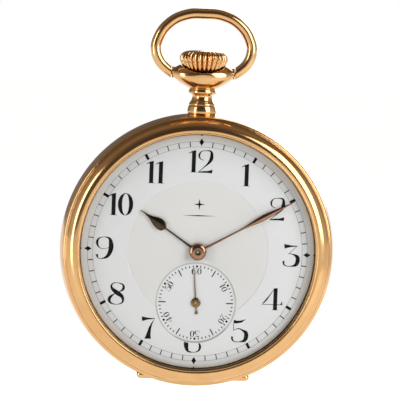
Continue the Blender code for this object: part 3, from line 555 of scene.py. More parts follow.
cup_wall = flowing([
    (0.0, 1.9, 1.7), (0.03, 2.3, 2.1), (0.10, 3.0, 2.6), (0.27, 4.25, 3.25), (0.46, 5.35, 3.65),
    (0.6, 5.9, 3.82), (0.76, 5.9, 3.9), (0.9, 5.1, 3.94), (1.0, 4.32, 3.9), (1.0, 4.12, 3.6),
    (0.9, 4.1, 3.52), (0.72, 4.1, 3.45), (0.5, 3.6, 3.1), (0.32, 1.2, 1.2),
], 3)
cup_build = bmesh.new()
cup_rows = []
CUP_SIDES = 96
for share, wide, deep in cup_wall:
    row = []
    for i in range(CUP_SIDES):
        angle = math.tau * i / CUP_SIDES
        rim = CUP_FRONT + (CUP_SIDE - CUP_FRONT) * abs(math.cos(angle)) ** 2.2
        z = CUP_LOW + share * (rim - CUP_LOW)
        row.append(cup_build.verts.new((wide * math.cos(angle), deep * math.sin(angle) - STEM_DEPTH, z)))
    cup_rows.append(row)
for low, high in zip(cup_rows, cup_rows[1:]):
    for i in range(CUP_SIDES):
        j = (i + 1) % CUP_SIDES
        cup_build.faces.new((low[i], low[j], high[j], high[i]))
for row in (cup_rows[0], cup_rows[-1]):
    cup_build.faces.new(row)
bosses = [
    turned(eased([
        (0, s * 4.2), (0.7, s * 4.2, 0), (1.0, s * 4.9, 0.3), (1.04, s * 5.68, 0.05), (0, s * 5.68),
    ], 0), "X", (0, -STEM_DEPTH, PIVOT_Z), 48)
    for s in (-1, 1)
]
combine(pendant, [cup_build, *bosses], "UNION")
combine(pendant, [
    rod((0, -STEM_DEPTH, 24.0), (0, -STEM_DEPTH, 31.0), 1.2, 48),
    *[rod((s * 4.9, -STEM_DEPTH, PIVOT_Z), (s * 6.0, -STEM_DEPTH, PIVOT_Z), TENON_HOLE_R) for s in (-1, 1)],
], "DIFFERENCE")
settle(pendant, case_gold, "case", ["pendant"], sharp=32)

# ---------------------------------------------------------------- bow
# A ring of round gold wire bent to a flattened oval. Its ends turn in to the cup, where a
# tenon on each is sprung into a hole in the boss. Their cheeks stand clear of the cup.
WIRE_R, TENON_R = 0.95, 0.42
CHEEK_X = 5.88
half_bow = [
    (0.0, 43.05), (3.4, 42.75), (6.5, 41.1), (8.4, 38.3), (8.7, 36.2), (7.9, 34.15), (6.9, 33.1), (5.8, 32.3),
    (4.9, 31.7),
]
bow_points = [(-x, z) for x, z in reversed(half_bow[1:])] + half_bow


def sweep_tree():
    """Geometry nodes: a round wire along a smooth line, closed at its ends."""
    tree = bpy.data.node_groups.new("swept_wire", "GeometryNodeTree")
    face = tree.interface
    face.new_socket("Geometry", in_out="INPUT", socket_type="NodeSocketGeometry")
    face.new_socket("Wire radius", in_out="INPUT", socket_type="NodeSocketFloat")
    face.new_socket("Steps", in_out="INPUT", socket_type="NodeSocketInt")
    face.new_socket("Sides", in_out="INPUT", socket_type="NodeSocketInt")
    face.new_socket("Finish", in_out="INPUT", socket_type="NodeSocketMaterial")
    face.new_socket("Geometry", in_out="OUTPUT", socket_type="NodeSocketGeometry")
    given = tree.nodes.new("NodeGroupInput")
    line = Value(tree, given.outputs["Geometry"])
    steps = Value(tree, given.outputs["Steps"])
    even = node(tree, "GeometryNodeResampleCurve", {}, {"Curve": line, "Count": steps})
    circle = node(tree, "GeometryNodeCurvePrimitiveCircle", {}, {
        "Resolution": Value(tree, given.outputs["Sides"]),
        "Radius": Value(tree, given.outputs["Wire radius"]),
    })
    wire = node(tree, "GeometryNodeCurveToMesh", {}, {
        "Curve": even, "Profile Curve": circle, "Fill Caps": True,
    })
    real = node(tree, "GeometryNodeRealizeInstances", {}, {"Geometry": wire})
    made = node(tree, "GeometryNodeSetMaterial", {}, {
        "Geometry": real, "Material": Value(tree, given.outputs["Finish"]),
    })
    end = tree.nodes.new("NodeGroupOutput")
    tree.links.new(made.socket, end.inputs["Geometry"])
    return tree


def grown(name, carrier, tree, values):
    """Run a node tree on a carrier, and keep what it makes as a plain mesh."""
    change = carrier.modifiers.new("grown", "NODES")
    change.node_group = tree
    for item in tree.interface.items_tree:
        if item.in_out == "INPUT" and item.name in values:
            change[item.identifier] = values[item.name]
    bpy.context.view_layer.update()
    graph = bpy.context.evaluated_depsgraph_get()
    mesh = bpy.data.meshes.new_from_object(carrier.evaluated_get(graph))
    mesh.name = name
    bpy.data.objects.remove(carrier, do_unlink=True)
    piece = bpy.data.objects.new(name, mesh)
    bpy.context.collection.objects.link(piece)
    return piece


def smooth_line(name, points, depth):
    """A smooth open line through points (x, z), as a curve object in metres."""
    data = bpy.data.curves.new(name, "CURVE")
    data.dimensions = "3D"
    spline = data.splines.new("BEZIER")
    spline.bezier_points.add(len(points) - 1)
    for point, (x, z) in zip(spline.bezier_points, points):
        point.co = Vector((x, -depth, z)) * MM
        point.handle_left_type = "AUTO"
        point.handle_right_type = "AUTO"
    data.resolution_u = 24
    made = bpy.data.objects.new(name, data)
    bpy.context.collection.objects.link(made)
    return made


wire_tree = sweep_tree()
bow = grown("bow_wire", smooth_line("bow_line", bow_points, STEM_DEPTH), wire_tree, {
    "Wire radius": WIRE_R * MM, "Steps": 161, "Sides": 32, "Finish": case_gold,
})
combine(bow, [block((-CHEEK_X, CHEEK_X), (30.0, 34.5), (3.0, 8.5))], "DIFFERENCE")
combine(bow, [
    rod((s * 5.0, -STEM_DEPTH, PIVOT_Z), (s * 6.1, -STEM_DEPTH, PIVOT_Z), TENON_R) for s in (-1, 1)
], "UNION")
settle(bow, case_gold, "bow", ["bow"])

# ---------------------------------------------------------------- crown and stem
# The crown is turned gold with flutes cut round its belly and down its underside, screwed
# on the square of the steel stem. It sits in the cup and pulls out to set the hands.
FLUTES = 26


def flute(angle, height):
    """Round ridges on the belly, which run out to points below and fade on the crown's top."""
    if not 31.6 < height < 36.35:
        return 1.0
    belly = min(1.0, (height - 31.6) / 1.2, (36.35 - height) / 0.5)
    ridge = abs(math.sin(FLUTES * angle / 2))
    sharp = ridge ** 0.6 if height > 34.15 else ridge ** 0.8
    return 1.0 - belly * (0.16 * (1 - sharp))


crown = shape("crown_knob", turned(eased([
    (0, 33.0), (0.8, 33.0), (0.8, 31.3), (2.5, 31.3, 0.2), (2.9, 31.9, 0.3), (3.45, 32.8, 0.5),
    (4.0, 33.8, 0.3), (4.16, 34.1, 0.04), (4.1, 34.22, 0.04), (4.34, 34.5, 0.2), (4.38, 34.95, 0.4),
    (4.2, 35.55, 0.4), (3.75, 36.0, 0.35), (2.9, 36.3, 0.8), (0, 36.5),
], 0.05, steps=5), "Z", STEM_AXIS, FLUTES * 12, flute))
settle(crown, case_gold, "crown", ["crown"], sharp=50)
stem = shape("stem_rod", turned(eased([
    (0, 11.2), (0.35, 11.2), (0.35, 11.8), (0.5, 11.9), (0.5, 16.3), (0.6, 16.4), (0.6, 17.4),
    (0.35, 17.45), (0.35, 18.15), (0.75, 18.2), (0.75, 32.9), (0, 32.9),
], 0.05), "Z", STEM_AXIS, 48))
settle(stem, bright_steel, "crown", ["winding_stem"])

# ---------------------------------------------------------------- dial
# White enamel with a rounded rim. The middle is sunk a hair lower, and the seconds dial at
# six lower still, with an edge that is ground to a slope.
SECONDS = (0.0, -9.3)
DIAL_FRONT, CENTRE_FRONT, SECONDS_FLOOR = 9.3, 9.24, 9.05
SUNK_R, RECESS_R = 12.8, 7.32
enamel, enamel_tree, enamel_shader = new_paint("fired_enamel", {
    "Metallic": 0.0, "Coat Weight": 0.6, "Coat Roughness": 0.04, "Specular IOR Level": 0.5,
})
on_dial = object_place(enamel_tree)
flat_place = node(enamel_tree, "ShaderNodeMapping", {}, {"Vector": on_dial, "Scale": (1, 0, 1)})
from_centre = node(enamel_tree, "ShaderNodeVectorMath", {"operation": "LENGTH"}, {0: flat_place}, 1)
# Warm cream painted over the outer millimetre of the dial: a painted reflection of the gold bezel on the
# enamel.
rim_reflection_mask = node(enamel_tree, "ShaderNodeMapRange", {}, {0: from_centre, 1: 20.2, 2: 21.2, 3: 0.0, 4: 1.0})
in_middle = node(enamel_tree, "ShaderNodeMapRange", {}, {0: from_centre, 1: SUNK_R + 0.05, 2: SUNK_R - 0.05})
specks = noise(enamel_tree, on_dial, 2.5, 4.0)
orange_peel = noise(enamel_tree, on_dial, 0.8, 2.0)
white = blend_colours(enamel_tree, specks, (0.765, 0.785, 0.79, 1), (0.80, 0.815, 0.815, 1))
middle_white = blend_colours(enamel_tree, in_middle, white, (0.77, 0.77, 0.75, 1))
white_with_painted_rim_reflection = blend_colours(enamel_tree, rim_reflection_mask * 0.7, middle_white, (0.83, 0.8, 0.70, 1))
seconds_place = node(enamel_tree, "ShaderNodeMapping", {}, {
    "Vector": flat_place, "Location": (-SECONDS[0], 0, -SECONDS[1]),
})
from_seconds = node(enamel_tree, "ShaderNodeVectorMath", {"operation": "LENGTH"}, {0: seconds_place}, 1)
# A thin greenish grey ring painted at the edge of the seconds recess: a painted shadow line.
off_edge = from_seconds.maths("ABSOLUTE", from_seconds - (RECESS_R - 0.1), 0.0)
recess_shadow_mask = node(enamel_tree, "ShaderNodeMapRange", {}, {0: off_edge, 1: 0.06, 2: 0.17, 3: 0.75, 4: 0.0})
in_seconds = node(enamel_tree, "ShaderNodeMapRange", {}, {0: from_seconds, 1: RECESS_R, 2: RECESS_R - 0.1})
seconds_white = blend_colours(enamel_tree, in_seconds, white_with_painted_rim_reflection, white)
white_with_painted_recess_shadow = blend_colours(enamel_tree, recess_shadow_mask, seconds_white, (0.36, 0.38, 0.33, 1))
enamel_bump = node(
    enamel_tree, "ShaderNodeBump", {}, {"Strength": 0.06, "Distance": 0.05 * MM, "Height": orange_peel}
)
feed(enamel_tree, enamel_shader, {
    "Base Color": white_with_painted_recess_shadow, "Roughness": 0.12 + specks * 0.1, "Normal": enamel_bump,
})
dial = shape("dial_plate", turned(eased([
    (1.0, 8.7), (21.25, 8.7), (21.25, DIAL_FRONT, 0.15), (SUNK_R + 0.04, DIAL_FRONT, 0.03),
    (SUNK_R - 0.06, CENTRE_FRONT, 0.03), (1.0, CENTRE_FRONT, 0.05),
], 0.03, closed=True, steps=3)))
combine(dial, [
    turned(eased([
        (0, SECONDS_FLOOR), (RECESS_R - 0.32, SECONDS_FLOOR, 0.06), (RECESS_R, DIAL_FRONT - 0.02, 0.02),
        (RECESS_R + 0.05, 9.6), (0, 9.6),
    ], 0), "Y", (SECONDS[0], 0, SECONDS[1]), 128),
    rod((SECONDS[0], -8.5, SECONDS[1]), (SECONDS[0], -9.5, SECONDS[1]), 0.4),
], "DIFFERENCE")
settle(dial, enamel, "case", ["dial"])

# ---------------------------------------------------------------- printing on the dial
# Black enamel paint, fired on in a thin raised film: the railroad minute track, upright
# numerals with thick and hairline strokes, a small star, and the seconds track.
FILM = 0.012


def inside(point, loops):
    """True where an odd number of the loops surround a point."""
    odd = False
    for loop in loops:
        for (x0, z0), (x1, z1) in zip(loop, loop[1:] + loop[:1]):
            if (z0 > point[1]) != (z1 > point[1]):
                if point[0] < x0 + (point[1] - z0) * (x1 - x0) / (z1 - z0):
                    odd = not odd
    return odd


def covered(marks, keep=None):
    """Triangles over the union of marks; each mark is a list of loops, outline and holes."""
    points, edges = [], []
    for loops in marks:
        for loop in loops:
            first = len(points)
            points += [Vector(p) for p in loop]
            edges += [(first + i, first + (i + 1) % len(loop)) for i in range(len(loop))]
    found, _, faces, _, _, _ = delaunay_2d_cdt(points, edges, [], 0, 1e-5)
    kept = []
    for face in faces:
        middle = sum((found[i] for i in face), Vector((0.0, 0.0))) / len(face)
        if any(inside(middle, loops) for loops in marks) and (keep is None or keep(middle)):
            kept.append(list(face))
    return found, kept


def film(marks, back, front, keep=None):
    """A thin solid over marks, as a bmesh."""
    found, faces = covered(marks, keep)
    build = bmesh.new()
    low, high = {}, {}
    for i in sorted({i for face in faces for i in face}):
        low[i] = build.verts.new((found[i].x, -back, found[i].y))
        high[i] = build.verts.new((found[i].x, -front, found[i].y))
    sides = set()
    for face in faces:
        build.faces.new([high[i] for i in face])
        build.faces.new([low[i] for i in reversed(face)])
        for a, b in zip(face, face[1:] + face[:1]):
            if (b, a) in sides:
                sides.remove((b, a))
            else:
                sides.add((a, b))
    for a, b in sorted(sides):
        build.faces.new((high[b], high[a], low[a], low[b]))
    return build


def pen(points, steps=6):
    """One stroke of the pen through (x, z, width) points, eased into a smooth line."""
    route = flowing(points, steps)
    left, right = [], []
    for k, point in enumerate(route):
        along = route[min(k + 1, len(route) - 1)] - route[max(k - 1, 0)]
        across = Vector((-along.y, along.x)).normalized() * point.z / 2
        left.append((point.x + across.x, point.y + across.y))
        right.append((point.x - across.x, point.y - across.y))
    return [left + right[::-1]]


def oval(wide, tall):
    return [(wide * math.cos(math.tau * i / 40), 0.5 + tall * math.sin(math.tau * i / 40)) for i in range(40)]


# Each numeral is drawn one unit high about its own middle line.
top_wedge = [[(-0.29, 1.0), (-0.27, 0.79), (-0.02, 0.865), (0.31, 0.905), (0.31, 0.93), (-0.02, 0.95)]]
lower_bowl = [
    (0.17, 0.53, 0.06), (0.36, 0.42, 0.2), (0.32, 0.08, 0.18), (0.08, 0.0, 0.03), (-0.17, 0.0, 0.03),
    (-0.31, 0.10, 0.08), (-0.29, 0.24, 0.085),
]
nine = [
    pen([(0.0, 0.985, 0.02), (0.24, 0.99, 0.07), (0.33, 0.75, 0.2), (0.34, 0.45, 0.22), (0.2, 0.10, 0.14),
         (-0.08, 0.0, 0.02), (-0.27, 0.03, 0.03), (-0.29, 0.20, 0.12)]),
    pen([(0.0, 0.985, 0.02), (-0.20, 0.98, 0.04), (-0.33, 0.74, 0.13), (-0.20, 0.48, 0.03),
         (0.02, 0.46, 0.02), (0.22, 0.50, 0.02), (0.25, 0.60, 0.02)]),
]
numerals = {
    "0": [[oval(0.34, 0.5), oval(0.155, 0.475)]],
    "1": [
        [[(-0.09, 0.0), (0.09, 0.0), (0.09, 1.0), (-0.02, 0.97), (-0.09, 0.94)]],
        [[(-0.06, 0.97), (-0.24, 0.86), (-0.24, 0.84), (-0.06, 0.90)]],
        [[(-0.15, 0.0), (0.15, 0.0), (0.15, 0.02), (-0.15, 0.02)]],
    ],
    "2": [
        pen([(-0.08, 0.56, 0.02), (-0.24, 0.58, 0.03), (-0.32, 0.78, 0.10), (-0.20, 0.97, 0.03),
             (0.0, 0.99, 0.02), (0.26, 0.99, 0.08), (0.27, 0.66, 0.18), (0.18, 0.48, 0.12),
             (-0.02, 0.28, 0.035), (-0.30, 0.04, 0.02)]),
        [[(-0.34, 0.0), (-0.32, 0.035), (-0.10, 0.075), (0.10, 0.085), (0.32, 0.15), (0.30, -0.02),
          (0.1, 0.0)]],
    ],
    "3": [top_wedge, pen([(0.30, 0.92, 0.02), (0.1, 0.73, 0.02), (-0.08, 0.56, 0.02)]),
          pen([(-0.08, 0.56, 0.02), (0.02, 0.57, 0.03)] + lower_bowl)],
    "4": [
        [[(0.03, 0.0), (0.21, 0.0), (0.21, 1.0), (0.03, 0.98)]],
        pen([(0.08, 0.99, 0.02), (-0.14, 0.66, 0.03), (-0.32, 0.40, 0.09), (-0.46, 0.27, 0.02)]),
        [[(-0.48, 0.24), (0.44, 0.24), (0.44, 0.265), (-0.48, 0.265)]],
        [[(0.34, 0.25), (0.44, 0.25), (0.43, 0.42)]],
        [[(-0.02, 0.0), (0.26, 0.0), (0.26, 0.02), (-0.02, 0.02)]],
    ],
    "5": [
        [[(-0.24, 1.0), (-0.25, 0.83), (-0.06, 0.84), (0.12, 0.88), (0.31, 1.04), (0.10, 0.97),
          (-0.10, 0.955)]],
        [[(-0.25, 0.50), (-0.225, 0.50), (-0.225, 0.88), (-0.25, 0.88)]],
        pen([(-0.24, 0.51, 0.02), (-0.10, 0.60, 0.03), (0.05, 0.60, 0.05)] + lower_bowl),
    ],
    "6": [[[(-x, 1 - z) for x, z in loop] for loop in mark] for mark in nine],
    "7": [top_wedge, [[
        (0.31, 0.92), (0.16, 0.74), (0.03, 0.48), (-0.06, 0.2), (-0.14, 0.0), (0.15, 0.0), (0.13, 0.2),
        (0.15, 0.5), (0.21, 0.72),
    ]]],
    "8": [
        pen([(0.0, 0.99, 0.02), (-0.20, 0.99, 0.04), (-0.28, 0.76, 0.10), (0.0, 0.54, 0.22),
             (0.30, 0.36, 0.14), (0.28, 0.04, 0.05), (0.0, 0.01, 0.02)]),
        pen([(0.0, 0.01, 0.02), (-0.28, 0.03, 0.06), (-0.36, 0.28, 0.17), (-0.1, 0.5, 0.02),
             (0.12, 0.58, 0.02), (0.33, 0.72, 0.14), (0.26, 0.97, 0.05), (0.0, 0.99, 0.02)]),
    ],
    "9": nine,
}


def written(text, height, middle, lean=0.0, gap=0.06):
    """The marks of a number centred on a point and turned clockwise by lean."""
    widths = {"1": 0.36, "4": 0.92}
    total = sum(widths.get(c, 0.66) for c in text) + gap * (len(text) - 1)
    pen_x, marks = -total / 2, []
    for digit in text:
        wide = widths.get(digit, 0.66)
        shift = pen_x + wide / 2 + (0.04 if digit == "1" else 0.0)
        pen_x += wide + gap
        for mark in numerals[digit]:
            loops = []
            for loop in mark:
                moved = [((x + shift) * height, (z - 0.5) * height) for x, z in loop]
                loops.append([
                    (middle[0] + x * math.cos(lean) + z * math.sin(lean),
                     middle[1] - x * math.sin(lean) + z * math.cos(lean))
                    for x, z in moved
                ])
            marks.append(loops)
    return marks


def around_tree():
    """Geometry nodes: copies of a mark turned about the dial's axis, at equal steps."""
    tree = bpy.data.node_groups.new("marks_around", "GeometryNodeTree")
    face = tree.interface
    face.new_socket("Geometry", in_out="INPUT", socket_type="NodeSocketGeometry")
    face.new_socket("Count", in_out="INPUT", socket_type="NodeSocketInt")
    face.new_socket("Leave out every", in_out="INPUT", socket_type="NodeSocketInt")
    face.new_socket("Centre", in_out="INPUT", socket_type="NodeSocketVector")
    face.new_socket("Start", in_out="INPUT", socket_type="NodeSocketFloat")
    face.new_socket("Finish", in_out="INPUT", socket_type="NodeSocketMaterial")
    face.new_socket("Geometry", in_out="OUTPUT", socket_type="NodeSocketGeometry")
    given = tree.nodes.new("NodeGroupInput")
    count = Value(tree, given.outputs["Count"])
    number = node(tree, "GeometryNodeInputIndex")
    turn = number * math.tau * (count ** -1) + Value(tree, given.outputs["Start"])
    rotation = node(tree, "ShaderNodeCombineXYZ", {}, {"Y": turn})
    points = node(tree, "GeometryNodePoints", {}, {
        "Count": count, "Position": Value(tree, given.outputs["Centre"]),
    })
    every = Value(tree, given.outputs["Leave out every"])
    rest = number.maths("MODULO", number, every)
    wanted = rest.maths("GREATER_THAN", rest + (every.maths("LESS_THAN", every, 0.5)), 0.5)
    placed = node(tree, "GeometryNodeInstanceOnPoints", {}, {
        "Points": points, "Selection": wanted, "Instance": Value(tree, given.outputs["Geometry"]),
        "Rotation": rotation,
    })
    real = node(tree, "GeometryNodeRealizeInstances", {}, {"Geometry": placed})
    made = node(tree, "GeometryNodeSetMaterial", {}, {
        "Geometry": real, "Material": Value(tree, given.outputs["Finish"]),
    })
    end = tree.nodes.new("NodeGroupOutput")
    tree.links.new(made.socket, end.inputs["Geometry"])
    return tree


marks_tree = around_tree()


def around(name, build, count, finish, centre=(0.0, 0.0), start=0.0, leave_out=0):
    """Repeat a mark about a centre. It is drawn at twelve o'clock, measured from that centre."""
    return grown(name, shape(name, build), marks_tree, {
        "Count": count, "Leave out every": leave_out, "Centre": (centre[0] * MM, 0.0, centre[1] * MM),
        "Start": start, "Finish": finish,
    })


def joined(name, pieces):
    """Several meshes as one piece."""
    build = bmesh.new()
    for piece in pieces:
        build.from_mesh(piece.data)
        bpy.data.objects.remove(piece, do_unlink=True)
    build.transform(Matrix.Scale(1 / MM, 4))
    return shape(name, build)


ink, ink_tree, ink_shader = new_paint("black_enamel_ink", {"Metallic": 0.0, "Specular IOR Level": 0.12})
ink_grain = noise(ink_tree, object_place(ink_tree), 12.0, 3.0)
feed(ink_tree, ink_shader, {
    "Base Color": blend_colours(ink_tree, ink_grain, (0.002, 0.002, 0.003, 1), (0.008, 0.008, 0.009, 1)),
    "Roughness": 0.4 + ink_grain * 0.2,
})


def upright(wide, low, high):
    """A bar across a track at twelve o'clock."""
    return [[(-wide / 2, low), (wide / 2, low), (wide / 2, high), (-wide / 2, high)]]


def on_face(marks, front=DIAL_FRONT, keep=None):
    return film(marks, front - FILM, front + FILM, keep)


minute_ticks = around("minute_ticks", on_face([upright(0.17, 19.0, 19.95)]), 60, ink, leave_out=5)
five_bars = around(
    "five_minute_bars", on_face([upright(0.5, 18.95, 20.05)]), 12, ink, leave_out=3,
)
diamond_shape = [[(0, 19.2), (0.42, 19.88), (0, 20.56), (-0.42, 19.88)]]
dot_shape = [ring(0.13, (0, 21.15), 12)]
diamonds = around("quarter_diamonds", on_face([diamond_shape, dot_shape]), 4, ink)
track_lines = shape("track_lines", on_face([[ring(r + 0.02), ring(r - 0.02)] for r in (19.02, 19.98)]))
hours = []
NUMERAL_R, NUMERAL_H = 16.4, 4.05
nudges = {
    3: (0.45, -0.1), 4: (-0.25, 0), 5: (-0.2, 0), 6: (-0.15, 0),
    7: (-0.35, 0.1), 8: (-0.2, 0.15), 9: (-0.65, 0.2),
}
for hour in range(1, 13):
    angle = math.tau * hour / 12
    across, up = nudges.get(hour, (0, 0))
    spot = (NUMERAL_R * math.sin(angle) + across, NUMERAL_R * math.cos(angle) + up)
    hours += written(str(hour), NUMERAL_H, spot)


def off_recess(point):
    return (point - Vector(SECONDS)).length > RECESS_R + 0.12


numeral_film = shape("numerals", on_face(hours + [[ring(RECESS_R + 0.12, SECONDS)]], DIAL_FRONT, off_recess))
star = [[
    ((1.0 if i % 2 == 0 else 0.22) * 1.05 * math.sin(math.tau * i / 8),
     8.6 + (1.0 if i % 2 == 0 else 0.22) * 1.05 * math.cos(math.tau * i / 8))
    for i in range(8)
]]
flourish = [[(-3.1, 6.55), (0, 6.66), (3.1, 6.55), (0, 6.44)]]
star_film = shape("dial_star", on_face([star, flourish], CENTRE_FRONT))
printing = joined("dial_printing", [minute_ticks, five_bars, diamonds, track_lines, numeral_film, star_film])
settle(printing, ink, "case")

small_ticks = around(
    "second_ticks", on_face([upright(0.17, 6.4, 6.78)], SECONDS_FLOOR), 60, ink, SECONDS, leave_out=5,
)
long_bars = around(
    "second_bars", on_face([upright(0.2, 5.5, 6.78)], SECONDS_FLOOR), 6, ink, SECONDS, math.tau / 12,
)
round_dot = [ring(0.21, (0, 6.6), 14)]
ten_dots = around("ten_second_dots", on_face([round_dot], SECONDS_FLOOR), 6, ink, SECONDS)
small_numbers = []
for ten in range(1, 7):
    angle = math.tau * ten / 6
    spot = (SECONDS[0] + 5.72 * math.sin(angle), SECONDS[1] + 5.72 * math.cos(angle))
    small_numbers += written(str(ten * 10), 1.15, spot, angle, 0.14)
seconds_film = shape("second_numbers", on_face(small_numbers, SECONDS_FLOOR))
seconds_print = joined("seconds_printing", [small_ticks, long_bars, ten_dots, seconds_film])
settle(seconds_print, ink, "case")

# ---------------------------------------------------------------- hands
# Stamped and hand-finished gold hands with rounded faces: a pear-shaped hour hand, a slim
# leaf-shaped minute hand and a plain seconds hand, each pushed on its pipe.
HOUR_BEARING, MINUTE_BEARING, SECONDS_BEARING = 304.5, 60.6, 355.0
dark_gold = polished_metal("hand_gold_dark", (0.09, 0.065, 0.035, 1), (0.04, 0.03, 0.018, 1), 0.14, 0.02)
rose_gold = polished_metal("hand_gold_rose", (0.46, 0.25, 0.16, 1), (0.28, 0.15, 0.09, 1), 0.14, 0.02)
dark_brass = polished_metal("hand_brass_dark", (0.30, 0.20, 0.09, 1), (0.17, 0.11, 0.05, 1), 0.18, 0.02)


def hand(name, centre, bearing, back, front, crown_height, blade, boss, hole):
    """A hand along a clockwise bearing. The blade's (distance, half width) points are eased to
    a smooth outline; its face is domed, and a turned boss with a hole stands on its root."""
    rows = eased(blade, 2.0, steps=6)
    build = bmesh.new()
    lines = []
    for distance, half in rows:
        line = []
        lift = front + min(crown_height, half * 0.45)
        for across, depth in (
            (-half, back), (half, back), (half, front), (half * 0.7, front + (lift - front) * 0.6),
            (0, lift), (-half * 0.7, front + (lift - front) * 0.6), (-half, front),
        ):
            line.append(build.verts.new((across, -depth, distance)))
        lines.append(line)
    for low, high in zip(lines, lines[1:]):
        for i in range(7):
            j = (i + 1) % 7
            build.faces.new((low[i], low[j], high[j], high[i]))
    build.faces.new(lines[0])
    build.faces.new(lines[-1])
    piece = shape(name, build)
    combine(piece, [turned(eased(boss, 0.08, steps=3), "Y", (0, 0, 0), 64)], "UNION")
    combine(piece, [rod((0, -back + 1, 0), (0, -front - 2, 0), hole)], "DIFFERENCE")
    turn = Matrix.Rotation(math.radians(bearing), 4, "Y")
    piece.data.transform(Matrix.Translation(Vector((centre[0], 0, centre[1])) * MM) @ turn)
    return piece


hour_hand = hand("hour_hand_pear", (0, 0), HOUR_BEARING, 9.5, 9.66, 0.22, [
    (1.2, 0.24), (3.0, 0.17), (7.3, 0.14), (7.42, 0.5), (7.65, 0.82), (8.2, 1.0), (8.9, 0.98), (9.7, 0.72),
    (10.6, 0.32), (11.5, 0.15), (12.85, 0.05),
], [(0, 9.5), (1.54, 9.5), (1.54, 9.75), (1.3, 9.86), (0, 9.86)], 0.87)
settle(hour_hand, dark_gold, "hours", ["hour_hand"])
minute_hand = hand("minute_hand_leaf", (0, 0), MINUTE_BEARING, 9.95, 10.08, 0.16, [
    (1.2, 0.24), (5.0, 0.16), (9.4, 0.15), (11.0, 0.33), (13.2, 0.56), (15.8, 0.4), (17.9, 0.14),
    (19.7, 0.05),
], [(0, 9.95), (1.5, 9.95), (1.54, 10.1), (1.45, 10.35), (1.1, 10.55), (0.8, 10.6), (0, 10.6)], 0.58)
settle(minute_hand, rose_gold, "minutes", ["minute_hand"])
seconds_hand = hand("seconds_hand_slim", SECONDS, SECONDS_BEARING, 9.18, 9.27, 0.08, [
    (-2.15, 0.05), (-2.05, 0.27), (-1.7, 0.27), (-1.5, 0.1), (0.0, 0.13), (3.0, 0.11), (6.1, 0.06),
], [(0, 9.18), (0.88, 9.18), (0.88, 9.3), (0.64, 9.38), (0, 9.4)], 0.2)
settle(seconds_hand, dark_brass, "seconds", ["seconds_hand"])

# ---------------------------------------------------------------- plates and bridges
# The movement's frame, of nickel silver: a mainplate with a pearled surface, and bridges with
# broad polished stripes and bevelled edges, each standing on a foot and held by its screws.
PLATE_BACK, PLATE_FRONT = 6.7, 8.0
BRIDGE_BACK, BRIDGE_FRONT = 3.4, 4.4
FOOT_FRONT = PLATE_BACK - 0.05
pivots = {
    joint["child"]: (joint["pos_m"][0] / MM, joint["pos_m"][2] / MM)
    for joint in frame["joints"] if joint.get("pos_m")
}
BARREL = pivots["barrel"]
THIRD = pivots["third_wheel"]
FOURTH = pivots["seconds"]
ESCAPE = pivots["escape_wheel"]
PALLET = pivots["pallet_fork"]
BALANCE = pivots["balance"]
CROWN_WHEEL = pivots["crown_wheel"]
CLICK_PIVOT = pivots["click"]
BARREL_BRIDGE_SCREWS = ((18.3, 3.6), (9.4, 16.2))
TRAIN_BRIDGE_SCREWS = ((15.6, -10.2), (-5.6, -17.6))
COCK_SCREW = (-14.6, 9.6)
CASE_SCREWS = ((-19.27, 5.2), (19.85, -2.1))
ROUND = 48


def fill(loops):
    """Triangles over the area between loops, as indices into their points in turn."""
    points = [Vector(p) for loop in loops for p in loop]
    edges, first = [], 0
    for loop in loops:
        edges += [(first + i, first + (i + 1) % len(loop)) for i in range(len(loop))]
        first += len(loop)
    found, _, faces, source, _, _ = delaunay_2d_cdt(points, edges, [], 0, 1e-7)
    kept = []
    for face in faces:
        middle = sum((found[i] for i in face), Vector((0.0, 0.0))) / 3
        if inside(middle, loops):
            kept.append([source[i][0] for i in face])
    return kept


def stack(name, layers):
    """A solid of flat layers, (back depth, front depth, loops). A loop that two layers share
    runs on as one wall."""
    build = bmesh.new()
    corners = {}

    def at(loop, depth):
        key = (id(loop), depth)
        if key not in corners:
            corners[key] = [build.verts.new((x, -depth, z)) for x, z in loop]
        return corners[key]

    for back_depth, front_depth, loops in layers:
        for loop in loops:
            a, b = at(loop, back_depth), at(loop, front_depth)
            for i in range(len(loop)):
                j = (i + 1) % len(loop)
                build.faces.new((a[i], a[j], b[j], b[i]))
    for depth in sorted({d for low, high, _ in layers for d in (low, high)}):
        ending = {id(l): l for _, high, loops in layers if high == depth for l in loops}
        starting = {id(l): l for low, _, loops in layers if low == depth for l in loops}
        edge_loops = [l for k, l in ending.items() if k not in starting]
        edge_loops += [l for k, l in starting.items() if k not in ending]
        flat = [v for l in edge_loops for v in at(l, depth)]
        for triangle in fill(edge_loops):
            build.faces.new([flat[i] for i in triangle])
    bmesh.ops.dissolve_limit(build, angle_limit=0.001, verts=build.verts, edges=build.edges)
    return shape(name, build)


def capsule(a, radius_a, b, radius_b):
    """The outline of a lever: two round ends joined by straight sides."""
    way = math.degrees(math.atan2(b[1] - a[1], b[0] - a[0]))
    lean = math.degrees(math.asin((radius_a - radius_b) / math.dist(a, b)))
    far = arc(radius_b, way - 90 + lean, way + 90 - lean, b, 7)
    near = arc(radius_a, way + 90 - lean, way + 270 + lean, a, 7)
    return far + near


def box_outline(left, right, low, high):
    return [(left, low), (right, low), (right, high), (left, high)]


